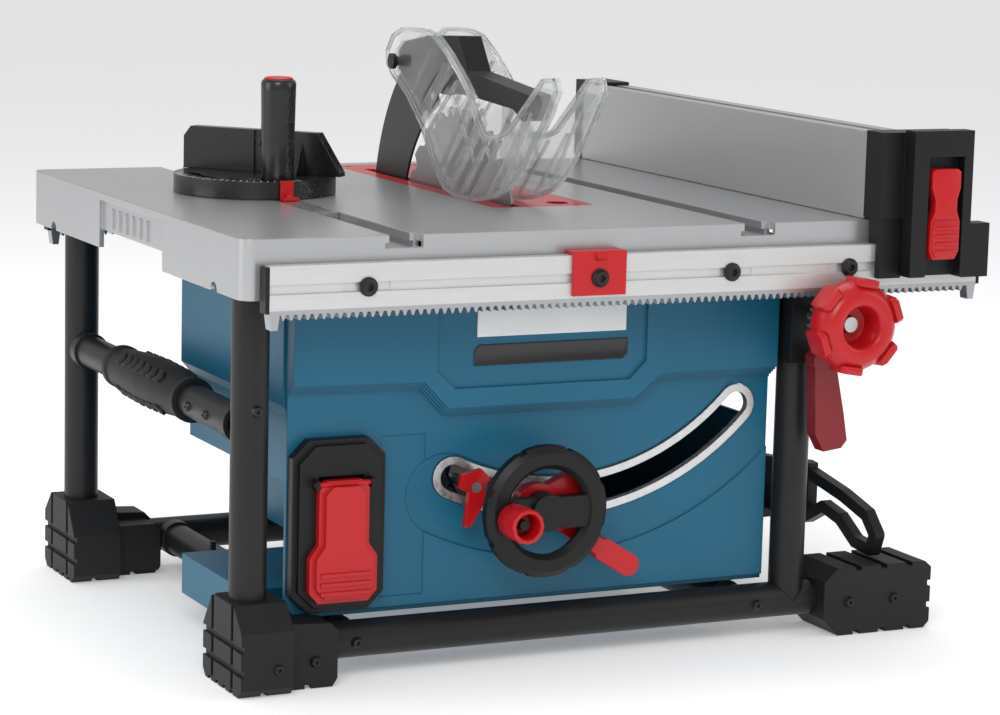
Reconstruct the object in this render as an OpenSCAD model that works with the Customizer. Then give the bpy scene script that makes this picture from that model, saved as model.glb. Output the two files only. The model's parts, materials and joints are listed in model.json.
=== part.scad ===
// Portable table saw on a tubular stand, with a rack-and-pinion rip fence.
// Working axes while drawing: X from the table's left edge, Y from its front edge, Z from the ground.
// Every piece is then moved so that the origin is the bottom centre of the whole saw.

/* [Table] */
// Width of the cast table
table_w = 600; // [560:5:680]
// Depth of the cast table, front to back
table_d = 485; // [470:5:600]
// Height of the table's working surface above the ground
table_h = 337; // [325:1:420]
// Thickness of the table's top plate
table_t = 6; // [5:0.5:9]
// Depth of the side aprons at the corners
apron_h = 44; // [36:1:60]
// Thickness of the apron walls
apron_t = 4; // [3:0.5:6]
// Width of each mitre slot at the surface
slot_w = 20; // [16:0.5:24]
// Depth of each mitre slot
slot_depth = 9.5; // [8:0.5:12]
// Centre of the left mitre slot from the table's left edge
left_slot_x = 123; // [100:1:150]
// Centre of the right mitre slot from the table's left edge
right_slot_x = 418; // [400:1:440]

/* [Blade] */
// Diameter of the saw blade
blade_d = 210; // [180:1:216]
// Thickness of the blade's body
blade_t = 1.8; // [1.4:0.1:2.4]
// Bore of the blade, and diameter of the arbor
bore_d = 16; // [12:1:20]
// Place of the blade's plane from the table's left edge
blade_x = 285; // [270:1:300]
// Place of the arbor from the table's front edge
arbor_y = 248; // [235:1:260]
// Depth of the arbor below the surface with the blade raised
arbor_drop = 35; // [34:0.5:45]
// Length and width of the removable insert around the blade
insert_l = 330; // [320:1:360]
// Width of the insert
insert_w = 88; // [80:1:96]
// Thickness of the insert
insert_t = 3; // [2:0.5:4]
// Clearance between the riving knife and the blade's teeth
knife_gap = 6; // [3:0.5:8]
// Width of the riving knife, measured outwards from the blade
knife_w = 61; // [40:1:62]
// Thickness of the riving knife
knife_t = 2; // [1.6:0.1:2.4]

/* [Stand] */
// Outer diameter of the stand's tubes
tube_d = 28; // [24:1:32]
// Wall of the stand's tubes
tube_wall = 2; // [1.5:0.5:3]
// Centre of the left legs from the table's left edge
leg_left_x = 26; // [20:1:34]
// Centre of the right legs from the table's left edge
leg_right_x = 486; // [482:1:500]
// Centre of the front legs from the table's front edge
leg_front_y = 48; // [46:1:60]
// Inset of the rear legs from the table's rear edge
leg_rear_inset = 52; // [45:1:60]
// Height of the base tubes' centre above the ground
base_tube_z = 28; // [22:1:36]
// Height of the left carrying tube's centre above the ground
carry_z = 193; // [150:1:230]
// Place of the lower left cross tube from the table's left edge
low_left_x = 104; // [100:1:112]
// Largest diameter of the rubber grip on the carrying tube
grip_d = 40; // [34:1:48]
// Length of the rubber grip
grip_l = 165; // [120:5:200]

/* [Fence and rails] */
// Distance of the fence's guiding face from the blade at rest
fence_reach = 231; // [180:1:250]
// Width of the fence beam
fence_w = 34; // [30:1:42]
// Height of the fence beam above the table
fence_h = 68; // [50:1:80]
// Length of the two rails
rail_l = 596; // [580:1:620]
// Height of the rails
rail_h = 32; // [30:1:38]
// Thickness of the rails, front to back
rail_t = 11; // [10:0.5:14]
// Tooth size (module) of the rack and its pinions
rack_m = 2; // [1.5:0.25:2.5]
// Teeth on each rack pinion
pinion_teeth = 22; // [18:1:24]
// Diameter of the red fence knob
knob_d = 76; // [60:1:84]

/* [Controls] */
// Diameter of the blade-height handwheel
wheel_d = 101; // [80:1:104]
// Distance of the handwheel's shaft from the tilt axis
arc_r = 217; // [210:1:218]
// Angle of the handwheel's shaft left of vertical with the blade upright
arc_rest = 9.2; // [6:0.1:12]
// Width and height of the switch plate
switch_w = 74; // [64:1:80]
// Height of the switch plate
switch_h = 130; // [110:1:140]

/* [Mitre gauge] */
// Radius of the gauge's round base
gauge_r = 65; // [50:1:75]
// Distance of the gauge's pivot from the table's front edge
gauge_y = 290; // [200:5:330]
// Angle by which the gauge head is turned clockwise from square
gauge_turn = 47; // [0:1:60]

/* [Fits] */
// Radial clearance of the running fits
run_fit = 0.05; // [0.02:0.01:0.1]
// Side clearance between sliding or loose pieces
slide_gap = 0.4; // [0.3:0.05:0.6]

/* [Hidden] */
$fn = 48;
eps = 0.05;

// ---- places worked out from the sizes above ----
table_under = table_h - table_t;
leg_rear_y = table_d - leg_rear_inset;
corner_r = 10;
lip_h = 18;
rail_x = 16.5;
rail_back = 1;
rail_top = table_h - lip_h;
rail_z = rail_top - rail_h;
groove_z = rail_z + rail_h / 2 - 1;
rack_base = 3;
pitch = PI * rack_m;
tooth_up = 0.9 * rack_m;
tooth_down = 1.1 * rack_m;
rack_root = rail_z - rack_base;
pitch_z = rack_root - tooth_down;
pinion_r = rack_m * pinion_teeth / 2;
shaft_z = pitch_z - pinion_r;
shaft_x = leg_right_x + 3;
shaft_d = 12;
fence_x = blade_x + fence_reach;
front_rail_y = -rail_back - rail_t;
rear_rail_y = table_d + rail_back;
knob_back = -16;
knob_t = 30;
// Front and rear ends of the whole saw, and its right end
front_end = knob_back - knob_t;
rear_end = rear_rail_y + rail_t + 2;
right_end = rail_x + rail_l + 3;
origin_x = right_end / 2;
origin_y = (front_end + rear_end) / 2;
// Housing
shell_x0 = 56;
shell_x1 = leg_right_x - tube_d / 2 - 4;
shell_z0 = 46;
rib_bottom = table_under - 10;
shell_wall = 3;
shell_y0 = leg_front_y + 10;
box_y1 = 274;
main_x0 = 130;
// the motor bay stops here; the lower body is narrower
bay_z0 = 145;
low_x0 = 175;
shell_y1 = table_d - 36;
panel_y = shell_y0 - 4;
belly = 12;
// Tilt mechanism: the axis lies on the table's surface in the blade's plane
guide_r = 120;
guide_w = 12;
roller_a = [-25, 20];
front_plate_y = 78;
rear_plate_y = shell_y1 - 23;
wheel_dx = -arc_r * sin(arc_rest);
wheel_dz = -arc_r * cos(arc_rest);
slot_r = 214;
slot_half = 10;
slot_a = [-25.5, 45.5];
post_x = -46;
post_y = [arbor_y - 62, arbor_y + 72];
post_d = 12;
post_top = -12;
screw_y = arbor_y - 88;
screw_d = 10;
wheel_shaft_d = 12;
beam_z = wheel_dz - 16;
wheel_y = 4;
wheel_t = 16;
lock_y = 22;
lock_t = 10;
// Drive
gear_m = 2;
gear_n = 26;
motor_n = 12;
gear_dist = gear_m * (gear_n + motor_n) / 2;
motor_dz = -arbor_drop - gear_dist;
motor_d = 74;
// Guard
guard_gap = 16;
guard_t = 4;
guard_pin_y = arbor_y + 90;
guard_pin_z = 100;
guard_pin_d = 8;
guard_lift_gap = 0.6;

// ---- helpers ----
module saw_frame() {
    translate([-origin_x, -origin_y, 0]) children();
}

// Children drawn about the tilt axis: X across, Z up from the table's surface
module tilt_frame() {
    saw_frame() translate([blade_x, 0, table_h]) children();
}

// Box given by its low and high corners
module span(a, b) {
    translate(a) cube(b - a);
}

// Upright block with rounded vertical edges
module round_block(size, r) {
    translate([r, 0, 0]) cube([size[0] - 2 * r, size[1], size[2]]);
    translate([0, r, 0]) cube([size[0], size[1] - 2 * r, size[2]]);
    for (x = [r, size[0] - r], y = [r, size[1] - r])
        translate([x, y, 0]) cylinder(r = r, h = size[2]);
}

// Cylinder along X from x0 to x1
module rod_x(d, x0, x1, y, z) {
    translate([x0, y, z]) rotate([0, 90, 0]) cylinder(d = d, h = x1 - x0);
}

// Cylinder along Y from y0 to y1
module rod_y(d, y0, y1, x, z) {
    translate([x, y0, z]) rotate([-90, 0, 0]) cylinder(d = d, h = y1 - y0);
}

// Cylinder along Z from z0 to z1
module rod_z(d, z0, z1, x, y) {
    translate([x, y, z0]) cylinder(d = d, h = z1 - z0);
}

// Flat shape in X and Z, standing between two values of Y
module plate_xz(y0, y1) {
    translate([0, y1, 0]) rotate([90, 0, 0]) linear_extrude(y1 - y0) children();
}

// Flat shape in Y and Z, standing between two values of X
module plate_yz(x0, x1) {
    translate([x0, 0, 0]) rotate([90, 0, 90]) linear_extrude(x1 - x0) children();
}

// Bar with round ends between two points of a flat shape
module bar2d(a, b, w) {
    turn = atan2(b[1] - a[1], b[0] - a[0]);
    polygon(concat([for (t = [-75:30:75]) b + w / 2 * [cos(turn + t), sin(turn + t)]],
        [for (t = [105:30:255]) a + w / 2 * [cos(turn + t), sin(turn + t)]]));
}

// Point at a radius and an angle from straight down, positive towards +X
function below(r, a) = [r * sin(a), -r * cos(a)];

// Part of a ring below its centre, between two angles from straight down
module ring_part2d(r0, r1, a0, a1) {
    reach = 2 * r1;
    difference() {
        intersection() {
            circle(r = r1, $fn = 96);
            polygon([[0, 0], below(reach, a0), below(reach, (a0 + a1) / 2), below(reach, a1)]);
        }
        circle(r = r0, $fn = 96);
    }
}

// Curved slot with round ends
module arc_slot2d(r, half, a0, a1) {
    ring_part2d(r - half, r + half, a0, a1);
    translate(below(r, a0)) circle(r = half);
    translate(below(r, a1)) circle(r = half);
}

// The same slot for a short radius, drawn as one closed outline
module short_arc_slot2d(r, half, a0, a1) {
    step = (a1 - a0) / 24;
    ends = [30:30:150];
    polygon(concat([for (i = [0:24]) below(r + half, a0 + i * step)],
        [for (t = ends) below(r, a1) + half * [sin(a1 + t), -cos(a1 + t)]],
        [for (i = [24:-1:0]) below(r - half, a0 + i * step)],
        [for (t = ends) below(r, a0) + half * [sin(a0 + 180 + t), -cos(a0 + 180 + t)]]));
}

// Spur gear outline with straight flanks; thin makes its teeth narrower for more backlash
module gear2d(m, n, thin = 1) {
    r = m * n / 2;
    root = r - 1.15 * m;
    tip = r + 0.9 * m;
    half = 360 / n;
    low = 0.27 * half * thin;
    mid = 0.215 * half * thin;
    high = 0.1 * half * thin;
    union() {
        circle(r = root + eps);
        for (i = [0:n - 1]) rotate(i * half)
            polygon([[root * cos(low), -root * sin(low)], [r * cos(mid), -r * sin(mid)],
                [tip * cos(high), -tip * sin(high)], [tip * cos(high), tip * sin(high)],
                [r * cos(mid), r * sin(mid)], [root * cos(low), root * sin(low)], [0, 0]]);
    }
}

// Button-head screw with its head's underside at z = 0 and a hex recess
module button_screw(head_d, head_h, d, l) {
    difference() {
        union() {
            cylinder(d1 = head_d, d2 = head_d * 0.7, h = head_h);
            translate([0, 0, -l]) cylinder(d = d, h = l + eps);
        }
        translate([0, 0, head_h * 0.4]) cylinder(d = head_d * 0.4, h = head_h, $fn = 6);
    }
}

// ---- table ----
slot_t_w = slot_w + 6;
slot_t_h = 3.5;
opening_x = blade_x - 21;
insert_y = arbor_y - blade_d / 2 - 5;
insert_ledge = 7;
rail_lug_x = [200, 370, 552];
lug_l = 36;

module mitre_slot_cut(x) {
    span([x - slot_w / 2, -1, table_h - slot_depth], [x + slot_w / 2, table_d + 1, table_h + 1]);
    span([x - slot_t_w / 2, -1, table_h - slot_depth], [x + slot_t_w / 2, table_d + 1,
        table_h - slot_depth + slot_t_h]);
    span([x - slot_w / 2, -1, table_h - slot_depth], [x + slot_w / 2 + 7, 9, table_h + 1]);
}

module rail_lug(x) {
    span([x - lug_l / 2, -rail_back - 3, groove_z - 4], [x + lug_l / 2, apron_t, groove_z + 4]);
    span([x - lug_l / 2, -rail_back - 6, groove_z - 8], [x + lug_l / 2, -rail_back - 3,
        groove_z + 8]);
}

module table_top() {
    mid_a = 165;
    mid_b = table_d - 173;
    rib_w = slot_t_w + 8;
    color("silver") saw_frame() difference() {
        union() {
            translate([0, 0, table_under]) round_block([table_w, table_d, table_t], corner_r);
            // aprons: tall at the corners, shallower and set back in the middle
            for (x = [0, table_w - apron_t]) {
                span([x, corner_r, table_h - apron_h], [x + apron_t, mid_a, table_under + eps]);
                span([x, mid_b, table_h - apron_h], [x + apron_t, table_d - corner_r,
                    table_under + eps]);
            }
            span([3, mid_a - 1, table_h - 30], [3 + apron_t, mid_b + 1, table_under + eps]);
            span([table_w - 3 - apron_t, mid_a - 1, table_h - 30], [table_w - 3, mid_b + 1,
                table_under + eps]);
            for (i = [0:5])
                span([1.6, 205 + 16 * i, table_h - 27], [3 + eps, 208 + 16 * i, table_h - 11]);
            // rounded corners of the apron
            for (x = [corner_r, table_w - corner_r], y = [corner_r, table_d - corner_r])
                rod_z(2 * corner_r, table_h - apron_h, table_under + eps, x, y);
            // front and rear walls behind the rails
            for (y = [0, table_d - apron_t])
                span([corner_r, y, table_h - apron_h], [table_w - corner_r, y + apron_t,
                    table_under + eps]);
            // channels under the mitre slots
            for (x = [left_slot_x, right_slot_x])
                span([x - rib_w / 2, 0, table_h - slot_depth - 5], [x + rib_w / 2, table_d,
                    table_under + eps]);
            // stiffening ribs
            for (x = [70, 190, 520])
                span([x, apron_t, rib_bottom], [x + 4, table_d - apron_t,
                    table_under + eps]);
            // sockets for the left legs
            for (y = [leg_front_y, leg_rear_y])
                rod_z(tube_d + 10, table_under - 14, table_under + eps, leg_left_x, y);
            for (x = rail_lug_x) {
                rail_lug(x);
                translate([0, table_d, 0]) mirror([0, 1, 0]) rail_lug(x);
            }
        }
        mitre_slot_cut(left_slot_x);
        mitre_slot_cut(right_slot_x);
        // recess and opening for the insert
        translate([opening_x, insert_y, table_h - insert_t])
            round_block([insert_w, insert_l, insert_t + 1], 8);
        translate([opening_x + insert_ledge, insert_y + insert_ledge, table_under - 20])
            round_block([insert_w - 2 * insert_ledge, insert_l - 2 * insert_ledge, 40], 6);
        // leg sockets
        for (y = [leg_front_y, leg_rear_y])
            rod_z(tube_d + 2 * run_fit, table_under - 20, table_under, leg_left_x, y);
        // arched notches in the left and right aprons
        for (x = [-1, table_w - apron_t - 1], y = [56, table_d - 56])
            translate([x, y, table_h - apron_h]) rotate([0, 90, 0])
                cylinder(d = 14, h = apron_t + 2);
    }
}

module insert_plate() {
    kerf = 10;
    color("firebrick") saw_frame() difference() {
        translate([opening_x + slide_gap, insert_y + slide_gap, table_h - insert_t])
            round_block([insert_w - 2 * slide_gap, insert_l - 2 * slide_gap, insert_t - 0.2], 8);
        // slot for the blade and riving knife, wider on the side the blade leans away from
        span([blade_x - 5, insert_y + 6, table_h - 5], [blade_x - 5 + kerf, insert_y + 297,
            table_h + 1]);
        rod_z(18, table_h - 5, table_h + 1, opening_x + insert_w - 22, insert_y + 24);
        for (x = [12, insert_w - 12], y = [10, insert_l - 10])
            rod_z(4.4, table_h - 5, table_h + 1, opening_x + x, insert_y + y);
    }
}

// ---- stand ----
foot_top = 66;
tube_i = tube_d - 2 * tube_wall;
low_right_x = 440;
base_tube_x0 = leg_left_x + tube_d / 2 + 3;
base_tube_x1 = 575;
leg_foot_z = base_tube_z + tube_d / 2 + 3;
housing_z0 = shaft_z - 28;
leg_ys = [leg_front_y, leg_rear_y];

module legs() {
    color("#2b2b2d") saw_frame() {
        for (y = leg_ys) difference() {
            rod_z(tube_d, leg_foot_z, table_under, leg_left_x, y);
            rod_z(tube_i, leg_foot_z - 1, table_under + 1, leg_left_x, y);
        }
        for (y = leg_ys) difference() {
            rod_z(tube_d, base_tube_z, housing_z0 + 8, leg_right_x, y);
            rod_z(tube_i, base_tube_z - 1, housing_z0 + 9, leg_right_x, y);
            rod_x(tube_d, leg_right_x - 40, leg_right_x + 40, y, base_tube_z);
        }
    }
}

module base_tubes() {
    color("#2b2b2d") saw_frame() for (y = leg_ys) difference() {
        rod_x(tube_d, base_tube_x0, base_tube_x1 - 26, y, base_tube_z);
        rod_x(tube_i, base_tube_x0 - 1, base_tube_x1, y, base_tube_z);
    }
}

// Cross tubes with flared collars at the legs
module cross_tube(x, z) {
    y0 = leg_front_y + tube_d / 2 + 0.3;
    y1 = leg_rear_y - tube_d / 2 - 0.3;
    difference() {
        union() {
            rod_y(tube_d - 2, y0, y1, x, z);
            rod_y(tube_d + 2, y0, y0 + 12, x, z);
            rod_y(tube_d + 2, y1 - 12, y1, x, z);
        }
        rod_y(tube_i - 2, y0 - 1, y1 + 1, x, z);
    }
}

module side_tubes() {
    color("#2b2b2d") saw_frame() {
        cross_tube(leg_left_x, carry_z);
        cross_tube(low_left_x, base_tube_z);
        cross_tube(low_right_x, base_tube_z);
        // spring clip on the lower left tube
        difference() {
            rod_y(tube_d, 286, 296, low_left_x, base_tube_z);
            rod_y(tube_d - 2 - eps, 285, 297, low_left_x, base_tube_z);
            span([low_left_x - 4, 280, 0], [low_left_x + 4, 300, base_tube_z]);
        }
        span([low_left_x - tube_d / 2 - 1, 289, base_tube_z + 6], [low_left_x - tube_d / 2 + 3,
            293, base_tube_z + 24]);
    }
}

module carry_grip() {
    mid = (leg_front_y + leg_rear_y) / 2 + 7;
    bore = tube_d - 2 + 2 * run_fit;
    end_d = tube_d + 7;
    color("#222224") saw_frame() translate([leg_left_x, mid - grip_l / 2, carry_z])
        rotate([-90, 0, 0]) rotate_extrude() polygon([[bore / 2, 0], [end_d / 2, 0],
            [end_d / 2, 6], [end_d / 2 - 1.5, 8], [grip_d / 2 - 1, grip_l * 0.3],
            [grip_d / 2, grip_l * 0.5], [grip_d / 2 - 1, grip_l * 0.7],
            [end_d / 2 - 1.5, grip_l - 8], [end_d / 2, grip_l - 6], [end_d / 2, grip_l],
            [bore / 2, grip_l]]);
}

foot_r_x0 = 507;
foot_r_x1 = 607;
foot_r_y0 = leg_front_y - 26;
foot_r_y1 = leg_front_y + 28;
foot_cut = 3;
foot_l_x0 = leg_left_x - tube_d / 2 - 5;

module foot_left() {
    bore = tube_d + 2 * run_fit;
    difference() {
        union() {
            plate_yz(foot_l_x0, 48) polygon([[leg_front_y - 39, 6], [leg_front_y - 33, 0],
                [leg_front_y + 34, 0], [leg_front_y + 40, 6], [leg_front_y + 40, 40],
                [leg_front_y + 22, foot_top], [leg_front_y - 22, foot_top],
                [leg_front_y - 39, 48]]);
            plate_xz(leg_front_y - 26, panel_y - 5) polygon([[47, 0], [84, 0], [88, 6],
                [88, 42], [82, 48], [47, 50]]);
            plate_xz(panel_y - 6, leg_front_y + 26) polygon([[47, 0], [84, 0], [88, 6],
                [88, 38], [82, 43], [47, 43]]);
        }
        rod_z(bore, leg_foot_z - 2, foot_top + 1, leg_left_x, leg_front_y);
        rod_x(bore, base_tube_x0 - 2, 100, leg_front_y, base_tube_z);
        // grooves between the tread blocks
        for (y = [leg_front_y - 22, leg_front_y - 7, leg_front_y + 8, leg_front_y + 23])
            span([foot_l_x0 - 1, y, -1], [100, y + 5, foot_cut]);
        for (z = [16, 34]) span([foot_l_x0 - 1, leg_front_y - 50, z], [foot_l_x0 + 2.5,
            leg_front_y + 50, z + 5]);
        for (y = [leg_front_y - 22, leg_front_y + 18])
            span([foot_l_x0 - 1, y, foot_cut + 1], [foot_l_x0 + 2.5, y + 5, foot_top + 1]);
        for (x = [24, 62]) span([x, leg_front_y - 40, -1], [x + 5, leg_front_y + 50, foot_cut]);
    }
}

module foot_right() {
    bore = tube_d + 2 * run_fit;
    difference() {
        plate_xz(foot_r_y0, foot_r_y1) polygon([[foot_r_x0, 14], [foot_r_x0 + 14, 0],
            [foot_r_x1 - 5, 0], [foot_r_x1, 5], [foot_r_x1, 50], [foot_r_x1 - 6, 55],
            [foot_r_x0 + 12, 55], [foot_r_x0, 44]]);
        rod_x(bore, foot_r_x0 - 1, base_tube_x1 - 24, leg_front_y, base_tube_z);
        for (x = [535, 559, 583]) {
            span([x, foot_r_y0 - 1, -1], [x + 6, foot_r_y1 + 1, foot_cut]);
            span([x, foot_r_y0 - 1, 55 - foot_cut], [x + 6, foot_r_y1 + 1, 60]);
        }
        for (z = [16, 34]) span([foot_r_x1 - foot_cut, foot_r_y0 - 1, z], [foot_r_x1 + 1,
            foot_r_y1 + 1, z + 5]);
    }
}

module corner_feet() {
    color("#29292b") saw_frame() {
        foot_left();
        foot_right();
        translate([0, table_d - leg_rear_inset + leg_front_y, 0]) mirror([0, 1, 0]) {
            foot_left();
            foot_right();
        }
    }
}

module machine_screws() {
    front = leg_front_y - tube_d / 2;
    color("#3a3a3c") saw_frame() {
        // insert screws
        for (x = [12, insert_w - 12], y = [10, insert_l - 10])
            translate([opening_x + x, insert_y + y, table_h - 1.6]) button_screw(5, 1, 3, 2.6);
        // feet, front faces
        for (x = [36, 70]) translate([x, leg_front_y - (x < 50 ? 38 : 26), 20])
            rotate([90, 0, 0]) button_screw(9, 3, 4, 3);
        for (x = [530, 572]) translate([x, foot_r_y0, 27]) rotate([90, 0, 0])
            button_screw(9, 3, 4, 3);
        // legs and base tube
        for (z = [207, 290]) translate([leg_left_x, front, z]) rotate([90, 0, 0])
            button_screw(9, 3, 4, 4);
        for (x = [108, 452]) translate([x, front, base_tube_z]) rotate([90, 0, 0])
            button_screw(9, 3, 4, 4);
        // carrying tube, seen from the left
        for (y = [104, 142]) translate([leg_left_x - tube_d / 2 + 1, y, carry_z])
            rotate([0, -90, 0]) button_screw(8, 2.5, 4, 4);
    }
}

// ---- housing ----
port_x = 400;
port_z = 96;
port_d = 38;
port_bore = 32;
window_z0 = 172;

module housing_outline(w) {
    // main box, left motor bay and base tray, drawn w inside the outer faces
    span([main_x0 + w, shell_y0 + w, bay_z0 + w], [shell_x1 - w, shell_y1 - w,
        rib_bottom]);
    span([low_x0 + w, shell_y0 + w, shell_z0 + w], [shell_x1 - w, shell_y1 - w,
        bay_z0 + w + 1]);
    plate_xz(shell_y0 + w, box_y1 - w) polygon([[shell_x0 + w, 205 + w], [shell_x0 + w,
        rib_bottom - 20], [shell_x0 + 18, rib_bottom - 2], [main_x0 + w + 1,
        rib_bottom - 2], [main_x0 + w + 1, bay_z0 + w], [shell_x0 + 8 + w, bay_z0 + w],
        [shell_x0 + 8 + w, 196]]);
}

module housing_shell() {
    color("#1c5a7d") saw_frame() difference() {
        union() {
            housing_outline(0);
            // low tray that catches the dust on the left
            span([shell_x0 - 12, 100, shell_z0 - 20], [shell_x0 + 28, 235, shell_z0 + 12]);
            span([shell_x0 + 8, shell_y0, shell_z0 - 2], [shell_x1, box_y1, shell_z0 + 1]);
            rod_y(port_d, shell_y1 - 1, shell_y1 + 26, port_x, port_z);
        }
        housing_outline(shell_wall);
        // open top, open front and the window that lets the tilted carriage show
        span([main_x0 + shell_wall, shell_y0 + shell_wall, table_under - 30],
            [shell_x1 - shell_wall, shell_y1 - shell_wall, table_h]);
        span([shell_x0 + 11, shell_y0 - 1, shell_z0 + 4], [shell_x1 - shell_wall,
            shell_y0 + shell_wall + 1, table_under - 10]);
        span([shell_x1 - 5, shell_y0 + 16, window_z0], [shell_x1 + 1, 330, 296]);
        rod_y(port_bore, shell_y1 - 6, shell_y1 + 27, port_x, port_z);
    }
}

// Height of the underside of the panel's proud part, as steps across the width
belly_steps = [[shell_x0 + 2, 222], [163, 220], [183, 199], [341, 199], [364, 217],
    [shell_x1, 217]];
belly_slope = 9;

module front_panel() {
    x0 = shell_x0 + 2;
    top = table_under - 12;
    color("#1c5a7d") saw_frame() difference() {
        union() {
            plate_xz(panel_y, shell_y0) polygon([[x0 + 6, shell_z0 + 2], [shell_x1 - 1,
                shell_z0 + 2], [shell_x1 - 1, top], [x0, top], [x0, shell_z0 + 12]]);
            // proud upper part with a sloping lower step
            for (i = [0:3]) let (y = panel_y - belly * i / 4 - belly / 4) plate_xz(y,
                panel_y - belly * i / 4 + eps) polygon(concat([for (p = belly_steps)
                [min(p[0], shell_x1 - 1), p[1] + belly_slope * (i - 3) / 4]],
                [[shell_x1 - 1, top], [x0, top]]));
        }
        // badge field
        plate_xz(panel_y - belly - 1, panel_y - belly + 2.5) polygon([[173, top + 1],
            [173, 228], [188, 214], [336, 214], [350, 228], [350, top + 1]]);
        // recess around the curved slot
        plate_xz(panel_y - 1, panel_y + 1.5) translate([blade_x, table_h]) {
            ring_part2d(slot_r - 18, slot_r + 46, slot_a[0], slot_a[1] + 1);
            translate(below(slot_r + 14, slot_a[0])) circle(r = 32);
            translate(below(slot_r + 14, slot_a[1] + 1)) circle(r = 32);
        }
        plate_xz(panel_y - 30, shell_y0 + 1) translate([blade_x, table_h])
            arc_slot2d(slot_r, slot_half + 6 + slide_gap, slot_a[0], slot_a[1]);
        // shallow field beside the switch
        span([134, panel_y - 1, 56], [170, panel_y + 1, 179]);
    }
}

module arc_trim() {
    color("gainsboro") saw_frame() translate([blade_x, 0, table_h])
        plate_xz(panel_y - 0.5, shell_y0 + 2) difference() {
            arc_slot2d(slot_r, slot_half + 6, slot_a[0], slot_a[1]);
            arc_slot2d(slot_r, slot_half, slot_a[0], slot_a[1]);
        }
}

switch_x = 96;
switch_z = 116;
switch_y = panel_y - 14;
paddle_top = switch_z + 36;
paddle_low = switch_z - 56;
paddle_pin_y = switch_y - 6;
paddle_pin_z = paddle_top - 2.5;
paddle_pin_d = 4;

// Eight-sided outline of the switch plate, drawn in by a margin
module switch_outline(m) {
    w = switch_w / 2 - m;
    h = switch_h / 2 - m;
    c = 13;
    polygon([[-w, -h + c], [-w + c, -h], [w - c, -h], [w, -h + c], [w, h - c], [w - c, h],
        [-w + c, h], [-w, h - c]]);
}

module switch_plate() {
    color("#242426") saw_frame() difference() {
        translate([switch_x, 0, switch_z]) {
            plate_xz(switch_y + 4, panel_y) switch_outline(0);
            plate_xz(switch_y, switch_y + 4 + eps) switch_outline(4);
            // ears of the paddle's hinge
            for (s = [-1, 1]) span([s * 22 - 1.5, paddle_pin_y - 3.5, paddle_pin_z - 3.5 -
                switch_z], [s * 22 + 1.5, switch_y + 1, paddle_pin_z + 3.5 - switch_z]);
        }
        // bores of the paddle's hinge
        rod_x(paddle_pin_d + 2 * run_fit, switch_x - 24, switch_x + 24, paddle_pin_y,
            paddle_pin_z);
        // well under the paddle
        span([switch_x - 18, switch_y - 1, paddle_low + 12], [switch_x + 18, panel_y - 3,
            paddle_top + 2]);
        rod_y(17, panel_y - 4, panel_y + 1, switch_x, paddle_top - 30);
    }
}

// Outline of the paddle about the switch's centre line: narrow above, wide below
module paddle_outline(m) {
    n = 20 - m;
    w = 27 - m;
    lo = paddle_low + m;
    hi = paddle_top - m;
    waist = paddle_low + 38;
    polygon([[-w + 7, lo], [w - 7, lo], [w, lo + 8], [w, waist - 4], [n, waist + 6],
        [n, hi - 6], [n - 6, hi], [-n + 6, hi], [-n, hi - 6], [-n, waist + 6], [-w, waist - 4],
        [-w, lo + 8]]);
}

module stop_paddle() {
    color("#c1272d") saw_frame() difference() {
        union() {
            translate([switch_x, 0, 0]) {
                plate_xz(switch_y - 7, switch_y - slide_gap) paddle_outline(0);
                plate_xz(switch_y - 11, switch_y - 6) paddle_outline(4);
                for (z = [8, 15, 22])
                    plate_xz(switch_y - 12.5, switch_y - 10) translate([0, paddle_low + z])
                        square([40, 3], center = true);
            }
            rod_x(paddle_pin_d, switch_x - 23, switch_x + 23, paddle_pin_y, paddle_pin_z);
            // hinge lugs reach into the well
            span([switch_x - 13, switch_y - 1, paddle_pin_z - 3], [switch_x + 13, switch_y + 6,
                paddle_pin_z + 1]);
        }
        // hollow over the start button
        span([switch_x - 11, switch_y - 5, paddle_top - 44], [switch_x + 11, switch_y + 1,
            paddle_top - 16]);
    }
}

module start_button() {
    color("seagreen") saw_frame() {
        rod_y(16, switch_y - 1, panel_y - 3.5, switch_x, paddle_top - 30);
    }
}

// ---- rails, rack and fence ----
module rail_profile2d() {
    // Y from the back face towards the front, Z up from the rail's underside
    mid = groove_z - rail_z;
    difference() {
        square([rail_t, rail_h]);
        // T groove that runs on the table's lugs
        translate([-1, mid - 4 - slide_gap]) square([5, 8 + 2 * slide_gap]);
        translate([3 - slide_gap, mid - 8 - slide_gap]) square([3 + 2 * slide_gap,
            16 + 2 * slide_gap]);
        // shallow groove along the front face
        translate([rail_t - 2, mid - 3.5]) square([3, 7]);
    }
}

module rail(x0) {
    translate([x0, 0, 0]) rotate([90, 0, 90]) linear_extrude(rail_l) children();
}

module front_rail() {
    color("#c9cbcc") saw_frame() difference() {
        translate([0, -rail_back, rail_z]) rail(rail_x) mirror([1, 0]) rail_profile2d();
        for (x = bolt_x) span([x - 18, front_rail_y + 1.5, groove_z - 3.5], [x + 18,
            front_rail_y + 2.6, groove_z + 3.5]);
    }
}

module rear_rail() {
    color("#c9cbcc") saw_frame()
        translate([0, rear_rail_y, rail_z]) rail(rail_x) rail_profile2d();
}

// Rack tooth centres start half a pitch from the pinion's centre line, so that a gap meets a tooth
rack_first = shaft_x - pitch * floor((shaft_x - rail_x - 12) / pitch) - pitch / 2;

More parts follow.
